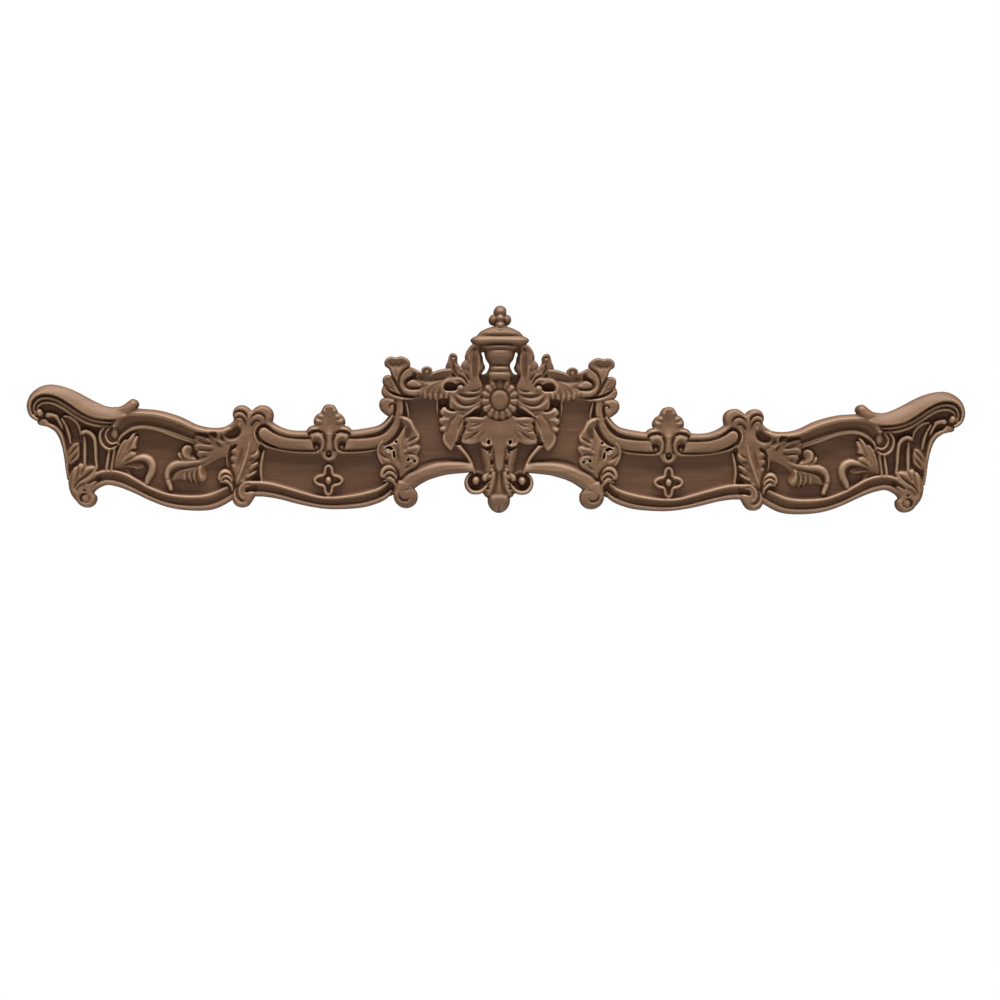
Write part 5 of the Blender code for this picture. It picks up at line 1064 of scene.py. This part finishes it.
def inner_fan(r):
    """The leaf between the middle and the outer fan, all one smooth surface with the middle."""
    def level(u, v):
        spine = np.exp(-(u / 8.5) ** 2) * np.clip((-16 - v) / 16, 0, 1)
        return 13.3 + 2.6 * spine + 1.1 * dish(20, -33, 12, 9, u, v)
    r.mass([(-9, -8), (0, -8), (8, -9), (13, -13), (16.6, -15.4), (20, -15.6), (28, -15.2), (34.3, -15.8),
            (35.8, -18.6), (34.4, -21.3), (33.4, -22.3), (35, -24.8), (34.4, -28), (36.3, -30.5),
            (37.8, -35), (40, -39.3), (37.5, -42.1), (31, -43.6), (24, -42.9), (19.5, -41.6), (18.2, -44.6),
            (13.8, -45.8), (9.4, -44.6), (7, -47.4), (6, -53), (5.4, -59), (4.8, -65), (3.2, -69),
            (0, -70.8), (-5, -69), (-9, -46)], level, 2.3, 9, cut=0.4, deep=2.4)
    r.swell([(12, -19.8), (20, -17.8), (28, -17.3), (33.8, -18.3)], [1.4, 2.3, 2.3, 1.6], 0.3)
    r.groove([(16.5, -21), (20.5, -23), (25, -24.9), (29.5, -25.6)], [0.7, 1.1, 0.7], 2.2, 0.35)
    r.swell([(18, -20.3), (25, -21.8), (31, -21.6)], [1.0, 1.8, 1.2], -1.0)
    r.groove([(18.5, -28.6), (22.5, -31.6), (26.5, -34.4), (30.5, -37), (33.6, -39.2)],
             [0.6, 1.0, 1.0, 0.7], 2.6, 0.3)
    r.groove([(25.5, -28.4), (30, -30.3), (34, -29.9)], [0.6, 1.0, 0.7], 1.8)
    r.swell([(22, -27), (28, -29.4), (33, -32.4), (36.6, -37)], [1.4, 2.4, 2.4, 1.6], 0.7)
    r.swell([(20, -37), (27, -40.4), (33, -41), (38, -39.6)], [1.6, 2.4, 2.2, 1.5], 0.8)
    r.swell([(15, -28), (17, -34), (22, -39)], [1.8, 2.6, 1.8], -1.2)
    r.pocket([(32.6, -21.6), (34.8, -20.8), (35.6, -24), (33.8, -24.2)], 5.5, 0.8)
    r.pocket([(34, -28.8), (35.6, -28.6), (37.3, -33), (36, -33)], 5.5, 0.7)
    r.pocket([(37.2, -35), (38.6, -34.8), (40.5, -39.3), (43.8, -40.5), (44.3, -43.5), (41.5, -44.8),
              (38, -43)], 4.6, 1.2)
    # rim under the drilled opening
    r.swell([(7.3, -41.3), (9.2, -44), (12.6, -44.9), (16.3, -43.2), (18.6, -40.3)], [1.2, 1.6, 1.6, 1.2],
            1.6, 0.2)


def nose_leaf(r):
    """The smooth tongue on the middle line between two notched leaves, and the triangle cut beside it."""
    r.pocket([(8, -44.6), (12.6, -45.6), (16.6, -44.4), (19, -42), (18.4, -45.2), (14.8, -48), (11.4, -50),
              (9, -48.4)], 6.5, 1.2)
    r.mass([(3, -40), (6, -40.5), (7.2, -43.5), (8.6, -47.4), (10, -49.6), (9.4, -51.4), (10.8, -54),
            (10.6, -57), (8.8, -59), (7.2, -59.4), (6.8, -61.4), (8.4, -64.4), (8.8, -67.5), (7.4, -70),
            (4.6, -70), (3, -60)], 13.2, 2.0, 8.5)
    r.swell([(6.6, -44.5), (7.8, -49), (9, -54), (8.2, -57.6)], [0.9, 1.3, 1.4, 1.0], 1.5)
    r.groove([(7, -48.6), (8.8, -50.6), (10.2, -51.2)], [0.6, 0.9, 0.8], 1.8, 0.2)
    r.hollow((6.4, -60.2), 1.4, 5.5, 1.2)
    sides = [(6.4, -46), (5.9, -52), (5.4, -58), (4.9, -64), (3.8, -68), (1.8, -70.6)]
    r.groove(sides, [0.6, 0.9, 1.0, 1.0, 0.9], [0.3, 1.0, 1.8, 2.2, 2.2, 1.8], 0.15)


def side_wing(r):
    """The coved wing under the fans, down to the volute: a rounded body, a cove and a bead."""
    outer = [(49, -41.5), (45, -45.2), (41, -48.9), (36.4, -53.4), (32.5, -58.4), (29.5, -63.8),
             (27, -69.6), (25.4, -76)]
    inner = [(9.5, -43), (9.8, -50), (9.2, -56), (8.2, -62), (7.6, -68), (8.4, -76)]
    r.moulding(outer, inner, [(0, 8), (0.03, 12), (0.085, 14.4), (0.14, 12.0), (0.2, 5.2), (0.3, 2.6),
                              (0.48, 3.0), (0.62, 8.4), (0.72, 11.8), (0.84, 13.2), (0.95, 13.6), (1, 12)])


def volute(r):
    """The open ring with a ball in it, at the cartouche's lower corner."""
    centre = (22.5, -81)
    r.boss(centre, 11.7, 9, full_section, foot=8)
    r.pocket(arc(centre, 9.6, 9.6, 0, 324, 10), 3.6, 2.2)
    ring = [(28.4, -72.6), (31.6, -76.4), (32.6, -81.4), (31.2, -86.6), (27.4, -90.3), (22.2, -91.2),
            (17.4, -89.8), (13.8, -86.2), (12.4, -82.6)]
    r.strip(ring, [1.1, 1.6, 2.0, 2.1, 2.2, 2.2, 2.1, 1.8, 1.3], [13.5, 14.6, 15, 15.2, 14.8], foot=8)
    r.boss((23.3, -79.4), 4.5, 15.6, ball_section, foot=4, stretch=1.12)
    r.mass([(9.5, -71), (13.5, -71.8), (16.6, -74.2), (17.4, -78), (15.4, -80.4), (11.5, -79.5),
            (9, -75.5)], 14.4, 2.8, 8, cut=0.5)
    r.hollow((14.3, -83), 1.5, 4.0)


def bulb(r):
    """The leaf pair under the tongue, its thin stem and the cleft bulb at the foot of the middle."""
    r.mass([(-8, -66), (0, -64), (6, -66), (9.5, -72), (10.5, -80), (13.6, -87), (14.6, -91.5), (13.8, -95),
            (10, -96), (5, -97), (0, -97), (-8, -96)], 11.6, 2.6, 8)
    r.mass([(2.6, -71.5), (4.6, -69.6), (6.6, -66.5), (9, -67.6), (9.6, -70.4), (8.8, -72.4), (11.2, -74.4),
            (11.4, -77.4), (9.8, -79), (11.6, -81.4), (11, -84.2), (12.6, -87.6), (13, -91.5),
            (11.6, -94.6), (8.6, -94.8), (6.4, -91.6), (4.6, -87), (3.2, -81), (2.6, -76)], 15.4, 2.4, 8.5,
           cut=0.35)
    r.swell([(5.6, -70.5), (6.4, -77), (7.6, -84), (9.6, -91)], [1.1, 1.9, 2.0, 1.3], 1.1)
    for notch in ([(6.4, -70), (9.4, -72.2)], [(6.8, -76.6), (10.6, -79.2)], [(7.8, -82.6), (11.6, -84.6)]):
        r.groove(notch, [0.7, 1.0], [1.0, 2.4], 0.0)
    r.strip([(0, -66), (0, -76), (0, -84), (0, -89.5), (0, -95)], [1.2, 1.3, 1.9, 3.6, 5.6],
            [13.4, 13.8, 14.2, 14.6, 15], foot=9.5)
    r.mass([(10.5, -79), (12, -84), (14, -88), (14.4, -92), (12.6, -94.6), (11.6, -90), (10.4, -85)], 13.6,
           1.8, 8.5)
    r.hollow((10.9, -87.2), 1.2, 8, 1.3, 20, 2)
    level = lambda u, v: 17.4 - 0.016 * (v + 99) ** 2
    r.mass([(0, -91.6), (5, -91.8), (9.4, -93.4), (10.9, -97), (10.9, -101), (9.4, -105.4), (6.4, -109),
            (3, -111.1), (0, -111.6), (-3.5, -110.8), (-8, -108), (-11, -100), (-6, -93)], level, 6.0, 8.5)
    r.groove([(0, -114), (0, -108.5), (0, -104)], [3.0, 1.9, 0.7], [9, 5, 1.0], 0.0)


def drilled(r):
    """The starter holes and the deepest openings, which the cutter leaves sharp."""
    r.pocket([(43.6, 12.4), (43.4, 15.6), (46.4, 17.4), (50.4, 17.8), (53.6, 16.4), (54.6, 13.4), (53, 11),
              (49, 10.6), (45.4, 10.8)], 4.2, 2.4)
    r.pocket([(18.6, -8.4), (21.4, -8.6), (25, -10.4), (28, -13), (24, -13.4), (19.6, -12.4)], 2.0, 1.0)
    r.pocket([(52.8, 0.4), (58.8, 0.4), (59.4, -4.6), (58, -6.4), (54.4, -4), (53, -3.4)], 2.2, 1.0)
    r.hollow((10.8, -40.8), 1.75, 3.4, 1.35)
    r.hollow((84.6, -60.3), 1.4, 5.4)
    r.hollow((90.7, -58.9), 1.5, 4.4, 1.25, 35)
    r.hollow((102.9, -41.2), 1.4, 5.4)
    r.pocket([(105.6, -49), (107.4, -46), (110, -45.2), (113, -46.4), (113.8, -48.2), (110.6, -48.6),
              (108.4, -50)], 5.2, 1.0)
    r.pocket([(104.4, -50.6), (106, -50), (106.4, -53.4), (105.6, -57), (103.8, -57.2), (103.6, -54)], 5.4,
             0.8)


def carved(step):
    """The whole right half."""
    r = Relief(step)
    rails = (grounds, arch, middle_rails, wing_rails)
    wing = (horn, crook, end_leaf, wing_volute, heart_leaf, crest_leaf, joint, joint_foot)
    middle_panel = (palmette, quatrefoil, bracket, bracket_top, bracket_foot)
    centrepiece = (side_wing, urn_leaf, crest, scroll, urn, ribbons, outer_fan, inner_fan, nose_leaf, volute,
                   bulb, rosette, openings)
    for area in rails + wing + middle_panel + centrepiece:
        area(r)
    r.soften(SOFT_EDGE, CUT_SPREAD, DEEPEST_CUT)
    drilled(r)
    return r


# The board as one closed mesh: carved front, flat back, outline drawn from the relief


def mirrored(values):
    """Both halves of the board from the right half."""
    return np.concatenate([values[:, :0:-1], values], axis=1)


def kept_cells(inside):
    """Grid squares within the outline, with no two touching only at a corner."""
    keep = (inside[:-1, :-1] + inside[1:, :-1] + inside[:-1, 1:] + inside[1:, 1:]) > 0
    for _ in range(4):
        a, b, c, d = keep[:-1, :-1], keep[:-1, 1:], keep[1:, :-1], keep[1:, 1:]
        rows, columns = np.nonzero((a & d & ~b & ~c) | (b & c & ~a & ~d))
        if not len(rows):
            break
        for down in (0, 1):
            for right in (0, 1):
                keep[rows + down, columns + right] = True
    return keep


def sampled(values, u, v):
    """Values between grid points; u and v in grid steps."""
    u = np.clip(u, 0, values.shape[1] - 1.001)
    v = np.clip(v, 0, values.shape[0] - 1.001)
    i, j = u.astype(int), v.astype(int)
    p, q = u - i, v - j
    low = values[j, i] * (1 - p) + values[j, i + 1] * p
    high = values[j + 1, i] * (1 - p) + values[j + 1, i + 1] * p
    return low * (1 - q) + high * q


def to_outline(inside, rim, step):
    """Grid positions, with those on the rim drawn onto the true outline."""
    v, u = np.indices(inside.shape).astype(float)
    slope_v, slope_u = np.gradient(inside)
    new_u, new_v = u.copy(), v.copy()
    for _ in range(3):
        level = sampled(inside, new_u, new_v)
        du, dv = sampled(slope_u, new_u, new_v), sampled(slope_v, new_u, new_v)
        steep = np.maximum(du**2 + dv**2, 0.25 * step**2)
        move_u = np.where(rim, new_u - level * du / steep - u, 0)
        move_v = np.where(rim, new_v - level * dv / steep - v, 0)
        shrink = 0.75 / np.maximum(np.hypot(move_u, move_v), 0.75)
        new_u, new_v = u + move_u * shrink, v + move_v * shrink
    return new_u, new_v


def solid_faces(keep, number, count):
    """Front, back and side faces of the kept squares."""
    rows, columns = np.nonzero(keep)
    a, b = number[rows, columns], number[rows, columns + 1]
    c, d = number[rows + 1, columns + 1], number[rows + 1, columns]
    faces = [np.stack([a, b, c, d], 1), np.stack([d, c, b, a], 1) + count]
    around = np.pad(keep, 1)
    tall, wide = keep.shape
    sides = ((-1, 0, (0, 0), (0, 1)), (1, 0, (1, 1), (1, 0)),
             (0, -1, (1, 0), (0, 0)), (0, 1, (0, 1), (1, 1)))
    for down, right, first, last in sides:
        open_side = keep & ~around[1 + down:1 + down + tall, 1 + right:1 + right + wide]
        rows, columns = np.nonzero(open_side)
        p = number[rows + first[0], columns + first[1]]
        q = number[rows + last[0], columns + last[1]]
        faces.append(np.stack([q, p, p + count, q + count], 1))
    return np.vstack(faces)


def board_mesh(relief):
    """The full grid mesh, with how deep each place lies kept as a point value."""
    step = relief.step
    inside, margin = mirrored(relief.inside), mirrored(relief.margin)
    height, relative = mirrored(relief.height), mirrored(relief.openness())
    keep = kept_cells(inside)
    padded = np.pad(keep, 1).astype(int)
    touching = padded[:-1, :-1] + padded[:-1, 1:] + padded[1:, :-1] + padded[1:, 1:]
    used = touching > 0
    u, v = to_outline(inside, used & (touching < 4), step)
    x = (u - (inside.shape[1] - 1) / 2) * step
    z = V_LOW + v * step
    y = -np.maximum(np.where(inside > 0, height, margin), LEAST_HEIGHT)
    count = int(used.sum())
    number = np.full(used.shape, -1)
    number[used] = np.arange(count)
    front = np.stack([x[used], y[used], z[used]], 1)
    faces = solid_faces(keep, number, count)
    mesh = bpy.data.meshes.new("carved_board")
    mesh.from_pydata((np.vstack([front, front * (1, 0, 1)]) * MM).tolist(), [], faces.tolist())
    # openness later sets painted shade in the cuts and a painted highlight on edges and crests
    wear_and_painted_light = mesh.attributes.new("openness", "FLOAT", "POINT")
    wear_and_painted_light.data.foreach_set("value", np.concatenate([relative[used], np.zeros(count)]))
    return mesh


def main_body(mesh):
    """Keeps the largest connected body only."""
    count = len(mesh.vertices)
    ends = np.empty(len(mesh.edges) * 2, int)
    mesh.edges.foreach_get("vertices", ends)
    a, b = ends.reshape(-1, 2).T
    label = np.arange(count)
    while True:
        low = np.minimum(label[a], label[b])
        new = label.copy()
        np.minimum.at(new, a, low)
        np.minimum.at(new, b, low)
        new = new[new]
        if (new == label).all():
            break
        label = new
    bodies, sizes = np.unique(label, return_counts=True)
    stray = np.nonzero(label != bodies[sizes.argmax()])[0]
    bm = bmesh.new()
    bm.from_mesh(mesh)
    bm.verts.ensure_lookup_table()
    bmesh.ops.delete(bm, geom=[bm.verts[int(i)] for i in stray], context="VERTS")
    bm.to_mesh(mesh)
    bm.free()


def thinned(mesh):
    """The same body with about TRIANGLES triangles, its back exactly flat."""
    ob = bpy.data.objects.new("fine", mesh)
    bpy.context.collection.objects.link(ob)
    collapse = ob.modifiers.new("collapse", "DECIMATE")
    corners = sum(len(p.vertices) - 2 for p in mesh.polygons)
    collapse.ratio = min(1.0, TRIANGLES / corners)
    graph = bpy.context.evaluated_depsgraph_get()
    result = bpy.data.meshes.new_from_object(ob.evaluated_get(graph))
    bpy.data.objects.remove(ob)
    for vert in result.vertices:
        if vert.co.y > -LEAST_HEIGHT * MM / 2:
            vert.co.y = 0.0
    return result


# Edges shorter than a sliver are dropped; edges bent by more than the sharp angle stay sharp
SLIVER = 0.01
SHARP_ANGLE = 60


def fitted(mesh):
    """Drops slivers and brings the board to its exact length and height."""
    bm = bmesh.new()
    bm.from_mesh(mesh)
    bmesh.ops.dissolve_degenerate(bm, dist=SLIVER * MM, edges=bm.edges[:])
    bmesh.ops.triangulate(bm, faces=bm.faces[:])
    for axis, first, last in ((0, -HALF_LENGTH, HALF_LENGTH), (2, FOOT, TOP)):
        low = min(v.co[axis] for v in bm.verts)
        high = max(v.co[axis] for v in bm.verts)
        for vert in bm.verts:
            vert.co[axis] = (first + (vert.co[axis] - low) / (high - low) * (last - first)) * MM
    bmesh.ops.recalc_face_normals(bm, faces=bm.faces[:])
    bm.to_mesh(mesh)
    bm.free()
    mesh.polygons.foreach_set("use_smooth", [True] * len(mesh.polygons))
    mesh.set_sharp_from_angle(angle=math.radians(SHARP_ANGLE))


def carved_board():
    """The one piece of the part."""
    mesh = board_mesh(carved(FINE_STEP))
    main_body(mesh)
    mesh = thinned(mesh)
    fitted(mesh)
    mesh.name = "carved_board"
    board = bpy.data.objects.new("carved_board", mesh)
    bpy.context.collection.objects.link(board)
    smooth = board.modifiers.new("smooth", "WEIGHTED_NORMAL")
    smooth.keep_sharp = True
    return board


# The stained wood


class Socket:
    """A node socket that can be used in sums; each sum adds its own maths node."""

    def __init__(self, nodes, link):
        self.nodes = nodes
        self.link = link

    def maths(self, operation, *values):
        return self.nodes.node("ShaderNodeMath", {"operation": operation}, dict(enumerate(values)))

    def __add__(self, other):
        return self.maths("ADD", self, other)

    def __sub__(self, other):
        return self.maths("SUBTRACT", self, other)

    def __rsub__(self, other):
        return self.maths("SUBTRACT", other, self)

    def __mul__(self, other):
        return self.maths("MULTIPLY", self, other)

    __radd__ = __add__

    def limited(self):
        return self.nodes.node("ShaderNodeClamp", {}, {"Value": self})

    def between(self, low, high):
        """0 below low, 1 above high and a smooth step between them."""
        settings = {"interpolation_type": "SMOOTHSTEP"}
        return self.nodes.node("ShaderNodeMapRange", settings,
                               {"Value": self, "From Min": low, "From Max": high})


class Finish:
    """One material and the nodes in it."""

    def __init__(self, name):
        self.material = bpy.data.materials.new(name)
        self.material.use_nodes = True
        self.tree = self.material.node_tree
        self.shader = self.tree.nodes["Principled BSDF"]

    def node(self, kind, settings, values, output=0):
        """A node with its settings made first, then values or links on its sockets."""
        made = self.tree.nodes.new(kind)
        for name, value in settings.items():
            if name == "stops":
                self.ramp(made.color_ramp, value)
            else:
                setattr(made, name, value)
        for name, value in values.items():
            self.feed(made.inputs[name], value)
        return Socket(self, made.outputs[output])

    def ramp(self, ramp, stops):
        """Sets the colours of a ramp; each stop is a place and a colour."""
        while len(ramp.elements) < len(stops):
            ramp.elements.new(0.5)
        for element, (place, colour) in zip(ramp.elements, stops):
            element.position = place
            element.color = (*colour, 1)

    def feed(self, socket, value):
        """Links a socket, or sets its value."""
        if isinstance(value, Socket):
            self.tree.links.new(value.link, socket)
        else:
            socket.default_value = value

    def mix(self, share, first, second, blend="MIX"):
        """A colour between two colours."""
        settings = {"data_type": "RGBA", "blend_type": blend}
        values = {0: share, 6: first, 7: second}
        return self.node("ShaderNodeMix", settings, values, 2)

    def place(self, scale):
        """Object position, stretched by a scale for each axis."""
        position = self.node("ShaderNodeTexCoord", {}, {}, 3)
        return self.node("ShaderNodeVectorMath", {"operation": "MULTIPLY"}, {0: position, 1: scale})

    def noise(self, scale, detail, roughness, distortion=0.0):
        """Noise stretched by a scale for each axis."""
        values = {"Vector": self.place(scale), "Scale": 1.0, "Detail": detail, "Roughness": roughness,
                  "Distortion": distortion}
        return self.node("ShaderNodeTexNoise", {}, values)


# Wood colours: sunk and raised wood, each from the darker to the paler grain, the sunk wood darker partly
# from thicker staining and partly as painted shade in the recesses; and what lies over them: clouding,
# pores, painted shade with staining that pools in the cuts, and a painted highlight on edges and crests
# where rubbing also thins the staining
SUNK_DARK = (0.082, 0.032, 0.012, 1)
SUNK_PALE = (0.124, 0.057, 0.025, 1)
RAISED_DARK = (0.130, 0.064, 0.031, 1)
RAISED_PALE = (0.180, 0.097, 0.050, 1)
CLOUDED = (0.126, 0.057, 0.027, 1)
PORES = (0.050, 0.020, 0.012, 1)
# painted shade in the cuts, with the staining pooling there too
POOLED_STAIN_AND_SHADE = (0.062, 0.019, 0.007, 1)
# painted highlight on edges and crests, where rubbing also thins the staining
RUBBED_AND_HIGHLIGHT = (0.460, 0.310, 0.205, 1)

# Tone along the board, from its left end to its right end: darker in a band around and left of the middle
LENGTHWISE_TONE = [(0.0, (1.0, 0.99, 0.97)), (0.24, (1.0, 0.98, 0.96)), (0.34, (0.90, 0.86, 0.83)),
          (0.42, (0.82, 0.79, 0.76)), (0.51, (0.82, 0.80, 0.76)), (0.56, (0.93, 0.93, 0.89)),
          (0.62, (0.98, 0.98, 0.95)), (1.0, (1.0, 1.0, 0.98))]


def wood():
    """Open-grained hardwood stained brown, with painted shade in the cuts and on sunk wood, and a painted
    highlight on edges and crests where rubbing also thins the staining.
    """
    w = Finish("stained_wood")
    openness = w.node("ShaderNodeAttribute", {"attribute_name": "openness"}, {}, 2)
    position = w.node("ShaderNodeTexCoord", {}, {}, 3)
    along = w.node("ShaderNodeSeparateXYZ", {}, {"Vector": position}, 0)
    depth = w.node("ShaderNodeSeparateXYZ", {}, {"Vector": position}, 1)
    broad = w.noise((12, 30, 100), 3.0, 0.6, 0.6)
    streak = w.noise((24, 120, 560), 4.0, 0.62, 0.3)
    pore = w.noise((90, 700, 2600), 2.0, 0.5)
    cloud = w.noise((9, 9, 16), 2.0, 0.5)
    tone = (broad * 0.5 + streak * 0.5).between(0.36, 0.66)
    low = w.mix(tone, SUNK_DARK, SUNK_PALE)
    high = w.mix(tone, RAISED_DARK, RAISED_PALE)
    # sunk wood darker: partly thicker staining, partly painted shade in the recesses
    stain_and_painted_light = w.mix(((0.0 - depth) * 1000).between(5.4, 14.0), low, high)
    lengthwise_tone = w.node("ShaderNodeValToRGB", {"stops": LENGTHWISE_TONE}, {"Fac": (along + 0.5).limited()})
    stain_and_painted_light = w.mix(1.0, stain_and_painted_light, lengthwise_tone, "MULTIPLY")
    stain_and_painted_light = w.mix((cloud - 0.42).limited() * 0.8, stain_and_painted_light, CLOUDED)
    stain_and_painted_light = w.mix(pore.between(0.60, 0.74) * 0.30, stain_and_painted_light, PORES)
    # below 0 openness: painted shade in the cuts, with the staining pooling there too
    shade_and_pooling = (0.0 - openness).between(0.02, 0.85)
    # above 0 openness: painted highlight on edges and crests, where rubbing also thins the staining
    rubbing_and_highlight = openness.between(0.10, 0.9)
    stain_and_painted_light = w.mix(shade_and_pooling * 0.70, stain_and_painted_light, POOLED_STAIN_AND_SHADE)
    stain_and_painted_light = w.mix(rubbing_and_highlight * 0.42, stain_and_painted_light, RUBBED_AND_HIGHLIGHT)
    # the base colour holds painted shade and a painted highlight as well as the wood's own staining
    w.feed(w.shader.inputs["Base Color"], stain_and_painted_light)
    w.feed(w.shader.inputs["Roughness"], 0.54 + streak * 0.10 + shade_and_pooling * 0.18 - rubbing_and_highlight * 0.08)
    fine = streak * 0.5 + pore * 0.35 + broad * 0.4
    bump = w.node("ShaderNodeBump", {}, {"Strength": 0.35, "Distance": 0.0004, "Height": fine})
    w.feed(w.shader.inputs["Normal"], bump)
    w.shader.inputs["Specular IOR Level"].default_value = 0.36
    return w.material


# The stage: the floor's half width and level, the lamps and the surround, and the camera. In metres.
FLOOR_REACH = 1.0
FLOOR_LEVEL = -0.82
LAMP_AIM = (0, 0, -0.02)
KEY_PLACE = (0.0, -0.47, 1.54)
KEY_SIZE = (2.2, 0.5)
KEY_POWER = 79
FILL_PLACE = (0.0, -1.3, -0.78)
FILL_SIZE = (2.2, 0.4)
FILL_POWER = 8
SURROUND = 0.38
VIEW_X = 0.0015
VIEW_Z = -0.0985
DISTANCE = 2.5
SWING = 2.35
ROLL = -0.36
SENSOR = 36
# At this distance in front of the back, one metre fills the width of the picture
SHOWN_PLANE = 0.0085


def floor():
    """A plain pale floor below the board."""
    ground = Finish("pale_floor")
    ground.shader.inputs["Base Color"].default_value = (0.82, 0.82, 0.81, 1)
    ground.shader.inputs["Roughness"].default_value = 0.85
    bm = bmesh.new()
    bmesh.ops.create_grid(bm, x_segments=8, y_segments=8, size=FLOOR_REACH)
    mesh = bpy.data.meshes.new("floor")
    bm.to_mesh(mesh)
    bm.free()
    mesh.materials.append(ground.material)
    ob = bpy.data.objects.new("floor", mesh)
    ob.location = (0, 0, FLOOR_LEVEL)
    bpy.context.collection.objects.link(ob)


def lamp(name, place, size, power):
    """A soft white lamp aimed at the board."""
    data = bpy.data.lights.new(name, "AREA")
    data.shape = "RECTANGLE"
    data.size, data.size_y = size
    data.energy = power
    ob = bpy.data.objects.new(name, data)
    ob.location = place
    ob.rotation_euler = (Vector(LAMP_AIM) - Vector(place)).to_track_quat("-Z", "Y").to_euler()
    bpy.context.collection.objects.link(ob)


def studio():
    """A long soft light high in front, a weak one low in front, and a plain white surround."""
    world = bpy.data.worlds.new("white_surround")
    world.use_nodes = True
    tree = world.node_tree
    shader = tree.nodes["Background"]
    shader.inputs["Color"].default_value = (1, 1, 1, 1)
    seen = tree.nodes.new("ShaderNodeLightPath")
    strength = tree.nodes.new("ShaderNodeMapRange")
    strength.inputs["To Min"].default_value = SURROUND
    strength.inputs["To Max"].default_value = 1.0
    tree.links.new(seen.outputs["Is Camera Ray"], strength.inputs["Value"])
    tree.links.new(strength.outputs[0], shader.inputs["Strength"])
    bpy.context.scene.world = world
    lamp("key_light", KEY_PLACE, KEY_SIZE, KEY_POWER)
    lamp("low_fill", FILL_PLACE, FILL_SIZE, FILL_POWER)
    bpy.context.scene.view_settings.view_transform = "Standard"


def camera():
    """A long lens, a little left of the middle and turned slightly, as the photograph was taken."""
    data = bpy.data.cameras.new("camera")
    data.sensor_width = SENSOR
    data.lens = SENSOR * (DISTANCE - SHOWN_PLANE)
    data.clip_end = 30
    ob = bpy.data.objects.new("camera", data)
    swing = math.radians(SWING)
    ob.location = (VIEW_X - DISTANCE * math.sin(swing), -DISTANCE * math.cos(swing), VIEW_Z)
    ob.rotation_euler = (math.radians(90), math.radians(ROLL), -swing)
    bpy.context.collection.objects.link(ob)
    bpy.context.scene.camera = ob


def main():
    board = carved_board()
    board.data.materials.append(wood())
    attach(board, "root")
    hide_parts("applique")
    floor()
    studio()
    camera()


main()
